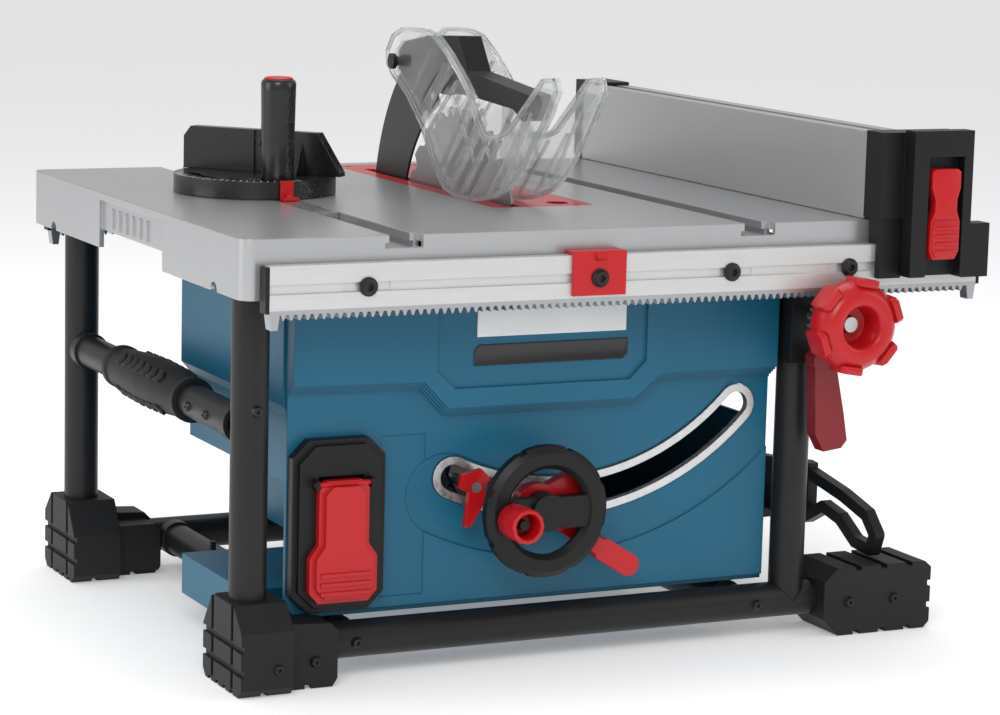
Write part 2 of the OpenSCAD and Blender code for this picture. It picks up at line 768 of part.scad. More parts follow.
module rack(y0) {
    n = floor((rail_x + rail_l - 12 - rack_first) / pitch);
    span([rail_x, y0, rack_root], [rail_x + rail_l, y0 + rail_t, rail_z]);
    for (i = [0:n]) let (x = rack_first + i * pitch) plate_xz(y0 + 0.5, y0 + rail_t - 0.5)
        polygon([[x - 0.34 * pitch, rack_root + eps], [x - 0.1 * pitch, pitch_z - tooth_up],
            [x + 0.1 * pitch, pitch_z - tooth_up], [x + 0.34 * pitch, rack_root + eps]]);
    for (x = [rail_x, rail_x + rail_l - 8]) plate_xz(y0 + 0.5, y0 + rail_t - 0.5)
        polygon([[x, rack_root + eps], [x + 1.5, rack_root - 11], [x + 6.5, rack_root - 11],
            [x + 8, rack_root + eps]]);
}

module rack_strips() {
    color("#b9bbbb") saw_frame() {
        rack(front_rail_y);
        rack(rear_rail_y);
    }
}

module rail_end_caps() {
    cap = 3;
    color("#202022") saw_frame() for (x = [rail_x - cap, rail_x + rail_l],
        y = [front_rail_y, rear_rail_y])
        translate([x, y, rail_z - 2]) cube([cap, rail_t, rail_h + 1]);
}

bolt_x = [92, 277, 391, 495];

module rail_bolts() {
    color("#202022") saw_frame() for (x = bolt_x)
        translate([x, front_rail_y - (x == bolt_x[1] ? 3 : 0), groove_z]) rotate([90, 0, 0]) {
            button_screw(14, 4, 6, x == bolt_x[1] ? 4.5 : 1.5);
            cylinder(d = 14, h = 1.5);
        }
}

module rail_clip() {
    x = bolt_x[1];
    color("#c1272d") saw_frame() difference() {
        union() {
            span([x - 22, front_rail_y - 3, rail_top - 30], [x + 22, front_rail_y, rail_top + 3]);
            span([x - 22, front_rail_y - 3, rail_top + eps], [x + 22, -rail_back, rail_top + 3]);
            plate_yz(x - 4, x + 4) polygon([[front_rail_y - 3, rail_top - 4],
                [front_rail_y - 7, rail_top - 2], [front_rail_y - 3, rail_top + 3]]);
        }
        rod_y(6 + 2 * run_fit, front_rail_y - 4, front_rail_y + 1, x, groove_z);
    }
}

module pinion_housings() {
    top = table_under - 12;
    color("#232325") saw_frame() for (y = leg_ys) difference() {
        union() {
            plate_xz(y - 20, y + 20) polygon([[shaft_x - 19, housing_z0 - 10],
                [shaft_x + 13, housing_z0 - 10], [shaft_x + 22, housing_z0 + 10],
                [shaft_x + 22, top], [shaft_x - 19, top]]);
            span([shaft_x - 19, y - 14, top - eps], [shaft_x + 22, y + 14, table_under]);
        }
        rod_y(shaft_d + 2 * run_fit, y - 21, y + 21, shaft_x, shaft_z);
        rod_z(tube_d + 2 * run_fit, housing_z0 - 11, housing_z0 + 8, leg_right_x, y);
        if (y == leg_front_y) rod_y(lever_pin_d + 2 * run_fit, y - 21,
            lever_pin_y + slide_gap, lever_x, lever_z);
    }
}

module pinion_shaft() {
    color("silver") saw_frame()
        rod_y(shaft_d, knob_back - 12, rear_rail_y + rail_t - 0.5, shaft_x, shaft_z);
}

module pinions() {
    color("#6d6f72") saw_frame() for (y = [front_rail_y + 1, rear_rail_y + 1])
        translate([shaft_x, y + rail_t - 2, shaft_z]) rotate([90, 0, 0])
            linear_extrude(rail_t - 2) difference() {
                // a tooth points straight up, into a gap of the rack
                rotate(90) gear2d(rack_m, pinion_teeth);
                circle(d = shaft_d);
            }
}

module fence_knob() {
    lobes = 6;
    rim = knob_d / 2;
    color("#c1272d") saw_frame() translate([shaft_x, knob_back, shaft_z]) rotate([90, 0, 0])
        difference() {
            union() {
                rotate_extrude() polygon([[shaft_d / 2, 0], [16, 0], [rim - 8, 3],
                    [rim - 3, 9], [rim - 3, 19], [rim - 8, 26], [24, knob_t], [14, knob_t],
                    [14, 12], [shaft_d / 2, 12]]);
                for (i = [0:lobes - 1]) rotate(i * 360 / lobes + 10)
                    translate([rim - 11, -6, 7]) cube([11, 12, 14]);
            }
        }
}

lever_x = shaft_x - 2;
lever_z = shaft_z - 33;
lever_pin_d = 8;
lever_y = 4;
lever_pin_y = leg_front_y - tube_d / 2 - 1;

module rail_lock_lever() {
    color("#7d1b20") saw_frame() {
        rod_y(lever_pin_d, lever_y, lever_pin_y, lever_x, lever_z);
        plate_xz(lever_y, lever_y + 13) translate([lever_x, lever_z]) {
            circle(d = 20);
            polygon([[-9, 3], [9, 3], [19, -42], [23, -64], [18, -70], [2, -72], [-6, -58]]);
        }
    }
}

fence_y0 = 4;
fence_y1 = table_d - 6;
fence_z0 = table_h + 0.5;
fence_wall = 3;

module fence_beam() {
    inner = fence_w - 2 * fence_wall;
    color("#c4c6c8") saw_frame() difference() {
        span([fence_x, fence_y0, fence_z0], [fence_x + fence_w, fence_y1, table_h + fence_h]);
        for (z = [fence_wall, fence_h / 2 + fence_wall / 2])
            span([fence_x + fence_wall, fence_y0 - 1, fence_z0 + z], [fence_x + fence_wall +
                inner, fence_y1 + 1, fence_z0 + z + fence_h / 2 - 2 * fence_wall]);
        // T slot along the top
        span([fence_x + fence_w / 2 - 4, fence_y0 - 1, table_h + fence_h - 4],
            [fence_x + fence_w / 2 + 4, fence_y1 + 1, table_h + fence_h + 1]);
    }
}

head_y = -34;
head_x1 = fence_x + 78;
head_top = table_h + fence_h + 3;
latch_x = fence_x + 50;
latch_pin_z = head_top - 32;
latch_pin_y = head_y + 5;

module fence_head() {
    color("#1f1f21") saw_frame() difference() {
        union() {
            // end block behind the beam
            span([fence_x, head_y + 14, table_h + 2], [head_x1 - 4, fence_y0, head_top - 2]);
            // plate with two posts
            span([fence_x + 20, head_y, rail_z + 8], [head_x1 - 4, head_y + 14 + eps,
                head_top]);
            // hook over the rail on the left, block on the right
            plate_yz(fence_x + 2, fence_x + 22) polygon([[front_rail_y - 6, rail_z + 6],
                [front_rail_y - slide_gap, rail_z + 6], [front_rail_y - slide_gap,
                rail_top + slide_gap], [-rail_back, rail_top + slide_gap], [fence_y0,
                table_h + 3], [fence_y0, table_h + 8], [front_rail_y - 6, table_h + 8]]);
            span([head_x1 - 6, head_y + 6, rail_z + 6], [head_x1 + 18, front_rail_y - slide_gap,
                table_h - 2]);
        }
        // space of the latch lever
        span([latch_x - 16, head_y - 1, rail_z + 4], [latch_x + 16, head_y + 10, head_top - 20]);
        // room over the rail and the table's lip
        span([fence_x - 1, front_rail_y - slide_gap, rail_z - 9], [head_x1 + 20, 60,
            rail_top + slide_gap]);
        span([fence_x - 1, -rail_back - slide_gap - 1, rail_top - 1], [head_x1 + 20, 60,
            table_h + 0.5]);
        // hollow of the plate below the block
        span([fence_x + 18, head_y + 17, table_h - 22], [fence_x + 24, 0, table_h + 1]);
        rod_x(5 + 2 * run_fit, latch_x - 22, latch_x + 22, latch_pin_y, latch_pin_z);
    }
}

module fence_lever() {
    color("#c1272d") saw_frame() {
        rod_x(5, latch_x - 21, latch_x + 21, latch_pin_y, latch_pin_z);
        plate_yz(latch_x - 14, latch_x + 14) translate([latch_pin_y, latch_pin_z]) {
            circle(d = 8);
            polygon([[-4, 0], [4, 0], [4, -58], [0, -68], [-7, -68],
                [-9, -40], [-5, -26]]);
        }
        for (z = [34, 42, 50, 58]) span([latch_x - 12, latch_pin_y - 10, latch_pin_z - z],
            [latch_x + 12, latch_pin_y - 6, latch_pin_z - z + 3]);
    }
}

module fence_rear_clamp() {
    y1 = rear_rail_y + rail_t;
    color("#1f1f21") saw_frame() difference() {
        union() {
            span([fence_x + 1, fence_y1, table_h + 2], [fence_x + fence_w - 1, y1,
                table_h + fence_h + 3]);
            span([fence_x + 1, fence_y1 - 24, table_h + fence_h + eps], [fence_x + fence_w - 1,
                fence_y1 + 1, table_h + fence_h + 3]);
            span([fence_x + 4, rear_rail_y + 1, rail_top + slide_gap], [fence_x + fence_w - 4, y1,
                table_h + 3]);
        }
        span([fence_x + 7, fence_y1 + 3, table_h + 20], [fence_x + fence_w - 7, y1 + 1,
            table_h + fence_h - 8]);
    }
}

// ---- mitre gauge ----
gauge_base_z = table_h + slide_gap;
gauge_base_t = 14;
gauge_top = gauge_base_z + gauge_base_t;
gauge_post_r = 48;
gauge_bar_w = slot_w - 2 * slide_gap;
gauge_post_d = 8;

module gauge_frame() {
    saw_frame() translate([left_slot_x, gauge_y, 0]) children();
}

module gauge_bar() {
    t_w = slot_t_w - 2 * slide_gap;
    z0 = table_h - slot_depth + slide_gap;
    color("silver") gauge_frame() {
        span([-gauge_bar_w / 2, -150, z0], [gauge_bar_w / 2, 150, table_h]);
        for (y = [-140, 140]) rod_z(t_w, z0, z0 + slot_t_h - 2 * slide_gap, 0, y);
        rod_z(10, table_h - eps, gauge_top - 2, 0, 0);
        rod_z(gauge_post_d, table_h - eps, gauge_top + 12, 0, -gauge_post_r);
    }
}

module gauge_head_frame() {
    gauge_frame() rotate(-gauge_turn) children();
}

module gauge_base() {
    arc = 62;
    color("#232326") gauge_head_frame() difference() {
        translate([0, 0, gauge_base_z]) intersection() {
            cylinder(r = gauge_r, h = gauge_base_t, $fn = 96);
            translate([-gauge_r, -gauge_r, 0]) cube([2 * gauge_r, gauge_r + 22, gauge_base_t]);
        }
        rod_z(10 + 2 * run_fit, gauge_base_z - 1, gauge_top - 2 + slide_gap, 0, 0);
        // curved slot for the clamping screw, about the pivot
        translate([0, 0, gauge_base_z - 1]) linear_extrude(gauge_base_t + 2)
            short_arc_slot2d(gauge_post_r, gauge_post_d / 2 + slide_gap, -arc, arc);
    }
}

module gauge_plate() {
    y0 = 10;
    y1 = 22;
    h = 34;
    color("#232326") gauge_head_frame() {
        plate_xz(y0, y1) polygon([[-gauge_r - 4, gauge_top], [-6, gauge_top], [-6,
            gauge_top + h], [-gauge_r + 2, gauge_top + h], [-gauge_r - 4, gauge_top + h - 8]]);
        difference() {
            plate_xz(y0 + 2, y1) polygon([[-6 - eps, gauge_top], [gauge_r + 4, gauge_top],
                [gauge_r + 4, gauge_top + 3], [gauge_r - 16, gauge_top + h], [-6 - eps,
                gauge_top + h]]);
            rod_y(7, y0 - 1, y1 + 1, 2, gauge_top + 22);
        }
        plate_yz(32, 36) polygon([[y0 + 3, gauge_top], [y0 - 10, gauge_top], [y0 + 3,
            gauge_top + h - 6]]);
    }
}

module gauge_handle() {
    hz = gauge_top + slide_gap;
    color("#1d1d1f") gauge_frame() translate([0, -gauge_post_r, hz]) rotate_extrude()
        polygon([[gauge_post_d / 2 + run_fit, 0], [13, 0], [12, 6], [11, 20], [12.5, 60],
            [14, 70], [14, 74], [12, 78], [0, 79], [0, 13], [gauge_post_d / 2 + run_fit, 13]]);
}

module gauge_pointer() {
    y0 = -gauge_r - 1.2;
    color("#c1272d") gauge_frame() {
        span([-5, y0 - 1.8, table_h + slide_gap], [6, y0, gauge_top + 1]);
        span([-5, y0 - 9, table_h + slide_gap], [8, y0, table_h + slide_gap + 2.5]);
        rod_z(5, table_h + slide_gap + 2, table_h + slide_gap + 4.5, 1, y0 - 5.5);
    }
}

// ---- push stick, stowed along the right side ----
stick_x = 566;
stick_t = 9;
stick_low = 64;
clip_ys = [216, 320];
stick_rod = 10;
// Centre line of the looped handle, from the top of the shank round to its underside
stick_loop = [[146, 107], [91, 98], [55, 89], [41, 75], [46, 62], [70, 64], [94, 78],
    [119, 83], [146, 69]];

module push_stick() {
    color("#1b1b1d") saw_frame() plate_yz(stick_x - stick_t / 2, stick_x + stick_t / 2) {
        // looped handle at the front
        for (i = [0:len(stick_loop) - 2]) bar2d(stick_loop[i], stick_loop[i + 1], stick_rod);
        // shank and notched tip
        difference() {
            polygon([[141, stick_low + 4], [150, stick_low], [330, stick_low], [372, 67],
                [372, 92], [330, 98], [200, 110], [150, 116], [141, 115]]);
            polygon([[358, 60], [374, 60], [374, 80], [358, 80]]);
            translate([170, 92]) circle(d = 9);
        }
    }
}

module push_stick_clips() {
    color("#2a2a2c") saw_frame() for (y = clip_ys) difference() {
        union() {
            span([shell_x1, y, stick_low - 10], [stick_x + 10, y + 14, stick_low - slide_gap]);
            span([shell_x1, y, stick_low - 10], [shell_x1 + 5, y + 14, stick_low + 16]);
            span([stick_x - 10, y, stick_low - 10], [stick_x + 10, y + 14, stick_low + 18]);
        }
        span([stick_x - stick_t / 2 - slide_gap, y - 1, stick_low - slide_gap],
            [stick_x + stick_t / 2 + slide_gap, y + 15, stick_low + 19]);
    }
}

// ---- battery at the back ----
dock_x = 275;
dock_z0 = 92;
pack_w = 76;
pack_h = 112;
pack_t = 44;

module battery_dock() {
    y0 = shell_y1;
    color("#242426") saw_frame() difference() {
        span([dock_x - 50, y0, dock_z0 - 10], [dock_x + 50, y0 + 26, dock_z0 + pack_h + 4]);
        span([dock_x - pack_w / 2 - slide_gap, y0 + 8, dock_z0 - slide_gap], [dock_x +
            pack_w / 2 + slide_gap, y0 + 27, dock_z0 + pack_h + 5]);
    }
}

module battery_pack() {
    y0 = shell_y1 + 8 + slide_gap;
    color("#2f3033") saw_frame() {
        span([dock_x - pack_w / 2, y0, dock_z0], [dock_x + pack_w / 2, y0 + pack_t * 0.55,
            dock_z0 + pack_h]);
        span([dock_x - pack_w / 2 + 6, y0, dock_z0 + 8], [dock_x + pack_w / 2 - 6, rear_end - 3,
            dock_z0 + pack_h - 8]);
    }
}

// ---- tilt and lift mechanism ----
module trunnion2d() {
    difference() {
        union() {
            ring_part2d(guide_r - 15, guide_r + 15, -38, 78);
            // hangers up to the table
            polygon([[-84, -table_t], [-60, -table_t], [-50, -108], [-84, -108]]);
            polygon([[84, -table_t], [112, -table_t], [114, -18], [134, -32], [96, -60], [84, -50]]);
            polygon([[-84, -table_t], [-84, -22], [-60, -22], [-60, -table_t]]);
        }
        arc_slot2d(guide_r, guide_w / 2 + slide_gap, roller_a[0] - 2, roller_a[1] + 47);
    }
}

module trunnions() {
    color("#8d8f92") tilt_frame() for (y = [front_plate_y - 10, rear_plate_y + 4])
        plate_xz(y, y + 6) trunnion2d();
}

module end_plate2d() {
    polygon([[-66, -92], [58, -98], [58, -132], [30, -160], [8, beam_z - 6], [-62, beam_z - 6],
        [-84, -196], [-66, -140]]);
}

module carriage_frame() {
    color("#77797c") tilt_frame() difference() {
        union() {
            plate_xz(front_plate_y, front_plate_y + 6) end_plate2d();
            plate_xz(rear_plate_y - 6, rear_plate_y) end_plate2d();
            // rollers in the curved guides
            for (a = roller_a) let (p = below(guide_r, a)) {
                rod_y(guide_w, front_plate_y - 11, front_plate_y + eps, p[0], p[1]);
                rod_y(guide_w, rear_plate_y - eps, rear_plate_y + 11, p[0], p[1]);
            }
            // bottom beam and front bearing of the handwheel's shaft
            span([-62, front_plate_y + 5, beam_z - 6], [-6, rear_plate_y - 5, beam_z]);
            span([wheel_dx - 13, screw_y - 46, beam_z - eps], [wheel_dx + 13, screw_y - 34,
                wheel_dz + 13]);
            rod_y(30, panel_y + 6, front_plate_y + eps, wheel_dx, wheel_dz);
            // stem of the bevel pointer
            rod_y(8, 40, front_plate_y + eps, pointer_p[0], pointer_p[1]);
            // tie across the tops of the posts
            span([post_x - 8, post_y[0] - 8, -20], [post_x + 8, post_y[1] + 8, post_top]);
        }
        rod_y(wheel_shaft_d + 2 * run_fit, 0, screw_y - 30, wheel_dx, wheel_dz);
        for (y = post_y) rod_z(post_d, beam_z - 5, post_top + 1, post_x, y);
        rod_z(screw_d + 2 * run_fit, beam_z - 7, beam_z + 1, wheel_dx, screw_y);
    }
}

pointer_a = -21.5;
pointer_p = below(slot_r, pointer_a);

module lift_posts() {
    color("silver") tilt_frame() for (y = post_y) rod_z(post_d, beam_z - 5, post_top, post_x, y);
}

bevel_m = 1.25;
bevel_n = 16;
bevel_r = bevel_m * bevel_n / 2;

// Bevel gear with its back face at z = 0, narrowing upwards to its apex
module bevel_gear(turn) {
    linear_extrude(bevel_r * 0.4, scale = 0.6) rotate(turn) gear2d(bevel_m, bevel_n, 0.7);
}

module lead_screw() {
    color("#9a9c9f") tilt_frame() {
        rod_z(screw_d, beam_z - 5, -44, wheel_dx, screw_y);
        translate([wheel_dx, screw_y, wheel_dz - bevel_r]) bevel_gear(0);
    }
}

block_x = [-24, -13];
block_z = [-112, -14];

module lift_block() {
    color("#85878a") tilt_frame() difference() {
        union() {
            span([block_x[0], post_y[0] - 12, block_z[0]], [block_x[1], post_y[1] + 12,
                block_z[1] - 12]);
            span([block_x[0] - 14, arbor_y - 48, block_z[0]], [block_x[0] + eps, arbor_y - 40,
                block_z[1] - 12]);
            span([block_x[0] - 14, arbor_y + 40, block_z[0]], [block_x[0] + eps, arbor_y + 48,
                block_z[1] - 12]);
            // sleeves on the posts and nut on the lead screw
            for (y = post_y) {
                rod_z(26, -104, -48, post_x, y);
                span([post_x, y - 8, -104], [block_x[0] + eps, y + 8, -48]);
            }
            span([wheel_dx - 11, screw_y - 11, -104], [block_x[1], screw_y + 11, -62]);
            span([block_x[0], screw_y - 11, -104], [block_x[1], post_y[0], -62]);
            // holder of the riving knife
            span([block_x[1] - eps, arbor_y + 70, block_z[0]], [-knife_t / 2, arbor_y + 84,
                -70]);
            span([block_x[1] - eps, arbor_y + 60, -66], [block_x[1] + 2, arbor_y + 84, -40]);
            span([block_x[0], post_y[1] + 12 - eps, -112], [block_x[1], arbor_y + 142, -80]);
            span([block_x[1] - eps, arbor_y + 108, -112], [-knife_t / 2, arbor_y + 142, -80]);
        }
        for (y = post_y) rod_z(post_d + 2 * run_fit, -120, -10, post_x, y);
        rod_z(screw_d + 2 * run_fit, -120, -10, wheel_dx, screw_y);
        // arbor bearing seat and clearance for the motor's pinion
        rod_x(28, block_x[0] - 1, block_x[1] + 1, arbor_y, -arbor_drop);
        rod_x(12, block_x[0] - 1, block_x[1] + 1, arbor_y, motor_dz);
    }
}

module arbor_bearings() {
    color("lightgray") tilt_frame() {
        for (x = [[block_x[0] + 1, block_x[1]], [-50, -42]]) difference() {
            rod_x(28, x[0], x[1], arbor_y, -arbor_drop);
            rod_x(bore_d + 2 * run_fit, x[0] - 1, x[1] + 1, arbor_y, -arbor_drop);
        }
    }
}

motor_x0 = -132;
motor_front = -50;

module motor_housing() {
    color("#1d1d1f") tilt_frame() difference() {
        union() {
            rod_x(motor_d, motor_x0, motor_front + eps, arbor_y, motor_dz);
            span([motor_front, arbor_y - 48, block_z[0]], [block_x[0] - 14, arbor_y + 48,
                block_z[1] - 12]);
            for (a = [0:30:330]) translate([motor_x0 + 12, arbor_y, motor_dz]) rotate([a, 0, 0])
                translate([0, -1.5, motor_d / 2 - 1]) cube([50, 3, 3]);
        }
        // space of the rotor
        rod_x(56, motor_x0 + 6, motor_front - 8, arbor_y, motor_dz);
        rod_x(10 + 2 * run_fit, motor_x0 + 2, 0, arbor_y, motor_dz);
        rod_x(28, -50 - eps, -37, arbor_y, -arbor_drop);
    }
}

module motor_rotor() {
    color("#a0a2a5") tilt_frame() {
        rod_x(10, motor_x0 + 3, -26, arbor_y, motor_dz);
        rod_x(50, motor_x0 + 12, motor_front - 14, arbor_y, motor_dz);
        translate([-36, arbor_y, motor_dz]) rotate([90, 0, 90]) linear_extrude(10)
            rotate(90 + 180 / motor_n) gear2d(gear_m, motor_n);
    }
}

module arbor_shaft() {
    color("#b9babc") tilt_frame() {
        rod_x(bore_d, -50, 5 - blade_t / 2, arbor_y, -arbor_drop);
        rod_x(12, 5 - blade_t / 2 - eps, 14, arbor_y, -arbor_drop);
    }
}

module arbor_gear() {
    color("#7d7f82") tilt_frame() translate([-35, arbor_y, -arbor_drop]) rotate([90, 0, 90])
        linear_extrude(8) difference() {
            rotate(-90) gear2d(gear_m, gear_n);
            circle(d = bore_d);
        }
}

module saw_blade() {
    teeth = 24;
    r = blade_d / 2;
    gullet = 9;
    step = 360 / teeth;
    color("#a9abae") tilt_frame() translate([-blade_t / 2, arbor_y, -arbor_drop])
        rotate([90, 0, 90]) linear_extrude(blade_t) difference() {
            polygon([for (i = [0:teeth - 1]) for (q = [[r - gullet, 0.02], [r, 0.2],
                [r - 2, 0.62], [r - gullet, 0.9]]) q[0] * [cos((i + q[1]) * step),
                sin((i + q[1]) * step)]]);
            circle(d = bore_d);
            // expansion slots
            for (i = [0:3]) rotate(i * 90 - step * 0.04) translate([r - gullet - 22, -0.75])
                square([24, 1.5]);
        }
}

module blade_flanges() {
    color("#8b8d90") tilt_frame() {
        difference() {
            rod_x(40, -8, -blade_t / 2, arbor_y, -arbor_drop);
            rod_x(bore_d, -9, 0, arbor_y, -arbor_drop);
        }
        difference() {
            rod_x(36, blade_t / 2, 5, arbor_y, -arbor_drop);
            rod_x(12, 0, 6, arbor_y, -arbor_drop);
            rod_x(bore_d, 0, 5 - blade_t / 2, arbor_y, -arbor_drop);
        }
    }
}

module arbor_nut() {
    color("#5f6164") tilt_frame() translate([5, arbor_y, -arbor_drop]) rotate([0, 90, 0])
        difference() {
            cylinder(d = 19, h = 8, $fn = 6);
            translate([0, 0, -1]) cylinder(d = 12, h = 10, $fn = 48);
        }
}

knife_r0 = blade_d / 2 + knife_gap;
knife_r1 = knife_r0 + knife_w;

module riving_knife() {
    color("#55575a") tilt_frame() plate_yz(-knife_t / 2, knife_t / 2) difference() {
        translate([arbor_y, -arbor_drop]) ring_part2d(knife_r0, knife_r1, 62, 157);
        translate([guard_pin_y, guard_pin_z]) circle(d = guard_pin_d + 2 * run_fit);
    }
}

// ---- guard ----
module guard_arm() {
    w = 10;
    color("#232325") tilt_frame() {
        difference() {
            plate_yz(-w, w) polygon([[352, 92], [352, 108], [340, 116], [293, 124], [236, 127],
                [216, 100], [108, 90], [102, 84], [110, 72], [118, 69], [134, 77], [232, 82],
                [262, 78], [330, 86]]);
            // fork that straddles the riving knife
            plate_yz(-knife_t / 2 - slide_gap, knife_t / 2 + slide_gap)
                polygon([[250, 60], [370, 60], [370, 140], [250, 140]]);
            rod_x(guard_pin_d, -w - 1, w + 1, guard_pin_y, guard_pin_z);
        }
        rod_x(guard_pin_d, -guard_gap - guard_t - 3, guard_gap + guard_t + 3, guard_pin_y,
            guard_pin_z);
        for (s = [-1, 1]) rod_x(13, min(s * 20.5, s * 24), max(s * 20.5, s * 24), guard_pin_y,
            guard_pin_z);
    }
}

guard_slots_low = [[[214, 12], [158, 66]], [[192, 10], [146, 56]], [[232, 24], [176, 76]]];
guard_slots_high = [[[268, 66], [228, 96]], [[286, 74], [246, 104]]];

module guard_plate2d() {
    difference() {
        polygon([[352, 108], [340, 122], [322, 129], [299, 130], [276, 130], [256, 127],
            [230, 114], [205, 98], [178, 77], [162, 58], [150, 55], [136, 57], [120, 62],
            [96, 80], [62, 106], [44, 108], [38, 98], [50, 80], [66, 62], [88, 38], [104, 25],
            [122, 14], [140, 8], [160, 3], [180, guard_lift_gap], [212, guard_lift_gap],
            [232, 5], [247, 15], [262, 30], [279, 51], [310, 74], [339, 88], [350, 96]]);
        for (s = guard_slots_low) bar2d(s[0], s[1], 7);
        for (s = guard_slots_high) bar2d(s[0], s[1], 7);
        translate([guard_pin_y, guard_pin_z]) circle(d = guard_pin_d + 2 * run_fit);
    }
}

module guard_left() {
    color([0.85, 0.9, 0.92, 0.4]) tilt_frame()
        plate_yz(-guard_gap - guard_t, -guard_gap) guard_plate2d();
}

module guard_right() {
    color([0.85, 0.9, 0.92, 0.4]) tilt_frame()
        plate_yz(guard_gap, guard_gap + guard_t) guard_plate2d();
}

// ---- handwheel and bevel controls ----
crank_r = 31;
crank_a = 186;
crank_pin_d = 8;

module wheel_frame() {
    tilt_frame() translate([wheel_dx, 0, wheel_dz]) children();
}

module handwheel() {
    r = wheel_d / 2;
    color("#252527") wheel_frame() difference() {
        union() {
            translate([0, wheel_y + wheel_t, 0]) rotate([90, 0, 0]) rotate_extrude()
                polygon([[r - 15, 2], [r - 4, 0], [r, 5], [r, 12], [r - 5, wheel_t],
                    [r - 14, wheel_t], [r - 18, 11]]);
            rod_y(28, wheel_y - 2, wheel_y + wheel_t, 0, 0);
            // spoke plate
            span([-r + 10, wheel_y + 2, -13], [r - 12, wheel_y + 12, 11]);
        }
        rod_y(wheel_shaft_d, wheel_y + 2, wheel_y + wheel_t + 1, 0, 0);
        for (a = [0:45:315]) rotate([0, a + 20, 0]) translate([r - 1.5, wheel_y - 1, -3])
            cube([4, wheel_t + 2, 6]);
        rotate([0, -crank_a, 0]) rod_y(crank_pin_d, wheel_y - 4, wheel_y + 11, crank_r, 0);
    }
    color("#8d8f92") wheel_frame() rotate([0, -crank_a, 0])
        rod_y(crank_pin_d, wheel_y - 22, wheel_y + 11, crank_r, 0);
}

module crank_handle() {
    color("#c1272d") wheel_frame() rotate([0, -crank_a, 0])
        translate([crank_r, wheel_y - slide_gap, 0]) rotate([90, 0, 0]) difference() {
            cylinder(d = 27, h = 28, $fn = 10);
            translate([0, 0, -1]) cylinder(d = crank_pin_d + 2 * run_fit, h = 24);
            translate([0, 0, 22.5]) cylinder(d = 17, h = 6);
        }
}

module wheel_shaft() {
    color("silver") wheel_frame() {
        rod_y(wheel_shaft_d, wheel_y + 2, screw_y - bevel_r + eps, 0, 0);
        translate([0, screw_y - bevel_r, 0]) rotate([-90, 0, 0]) bevel_gear(180 / bevel_n);
    }
}

module bevel_pointer() {
    color("#c1272d") tilt_frame() translate([pointer_p[0], 0, pointer_p[1]]) difference() {
        plate_xz(40, 45) polygon([[-12, 10], [4, 14], [12, 6], [6, -2], [10, -8], [-4, -30],
            [-9, -30], [-6, -4], [-14, 0]]);
        rod_y(8, 39, 46, 0, 0);
    }
}

module bevel_lock() {
    color("#c1272d") wheel_frame() difference() {
        plate_xz(lock_y, lock_y + lock_t) {
            circle(r = 19);
            bar2d([12, -8], [66, -42], 13);
            bar2d([58, -37], [79, -50], 18);
            polygon([[-4, 11], [34, 30], [36, 2], [6, -10]]);
        }
        rod_y(wheel_shaft_d + 2 * run_fit, lock_y - 1, lock_y + lock_t + 1, 0, 0);
    }
}

table_top();
insert_plate();
legs();
base_tubes();
side_tubes();
carry_grip();
corner_feet();
machine_screws();
housing_shell();
front_panel();
arc_trim();
switch_plate();
stop_paddle();
start_button();
front_rail();
rear_rail();
rack_strips();
rail_end_caps();
rail_bolts();
rail_clip();
pinion_housings();
pinion_shaft();
pinions();
fence_knob();
rail_lock_lever();
fence_beam();
fence_head();
fence_lever();
fence_rear_clamp();
gauge_bar();
gauge_base();
gauge_plate();
gauge_handle();
gauge_pointer();
push_stick();
push_stick_clips();
battery_dock();
battery_pack();
trunnions();
carriage_frame();
lift_posts();
lead_screw();
lift_block();
motor_housing();
motor_rotor();
arbor_shaft();
arbor_gear();
arbor_bearings();
saw_blade();
blade_flanges();
arbor_nut();
riving_knife();
guard_arm();
guard_left();
guard_right();
handwheel();
crank_handle();
wheel_shaft();
bevel_pointer();
bevel_lock();
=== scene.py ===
"""Visual model of a portable table saw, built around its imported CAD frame."""

import json
import logging
import math
from dataclasses import dataclass, field
from enum import Enum

import bmesh
import bpy
from mathutils import Matrix, Vector

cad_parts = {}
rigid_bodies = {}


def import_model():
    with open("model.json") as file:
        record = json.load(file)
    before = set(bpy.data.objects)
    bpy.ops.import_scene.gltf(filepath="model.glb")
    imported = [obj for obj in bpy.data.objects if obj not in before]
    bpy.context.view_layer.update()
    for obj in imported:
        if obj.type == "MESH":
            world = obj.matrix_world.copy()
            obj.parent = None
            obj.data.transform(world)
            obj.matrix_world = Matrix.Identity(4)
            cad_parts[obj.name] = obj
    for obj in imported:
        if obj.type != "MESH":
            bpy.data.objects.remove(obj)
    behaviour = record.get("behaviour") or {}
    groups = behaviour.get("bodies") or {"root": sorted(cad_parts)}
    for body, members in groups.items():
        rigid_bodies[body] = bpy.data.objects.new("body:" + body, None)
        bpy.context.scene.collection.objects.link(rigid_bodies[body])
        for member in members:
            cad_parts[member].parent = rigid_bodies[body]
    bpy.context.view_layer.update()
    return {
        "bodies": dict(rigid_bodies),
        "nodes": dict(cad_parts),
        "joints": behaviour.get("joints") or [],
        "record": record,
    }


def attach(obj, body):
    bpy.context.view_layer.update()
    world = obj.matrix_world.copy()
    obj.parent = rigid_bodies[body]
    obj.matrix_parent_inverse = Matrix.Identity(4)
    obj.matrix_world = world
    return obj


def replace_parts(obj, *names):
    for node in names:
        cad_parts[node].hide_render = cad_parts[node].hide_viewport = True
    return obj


LOG = logging.getLogger("table_saw")
MM = 0.001
# Shift from the drawing's corner axes to the row frame, in millimetres
ORIGIN_X = 307.75
ORIGIN_Y = 226.5
TABLE_H = 337.0
BLADE_X = 285.0

Point = tuple[float, float, float]
Outline = list[tuple[float, float]]


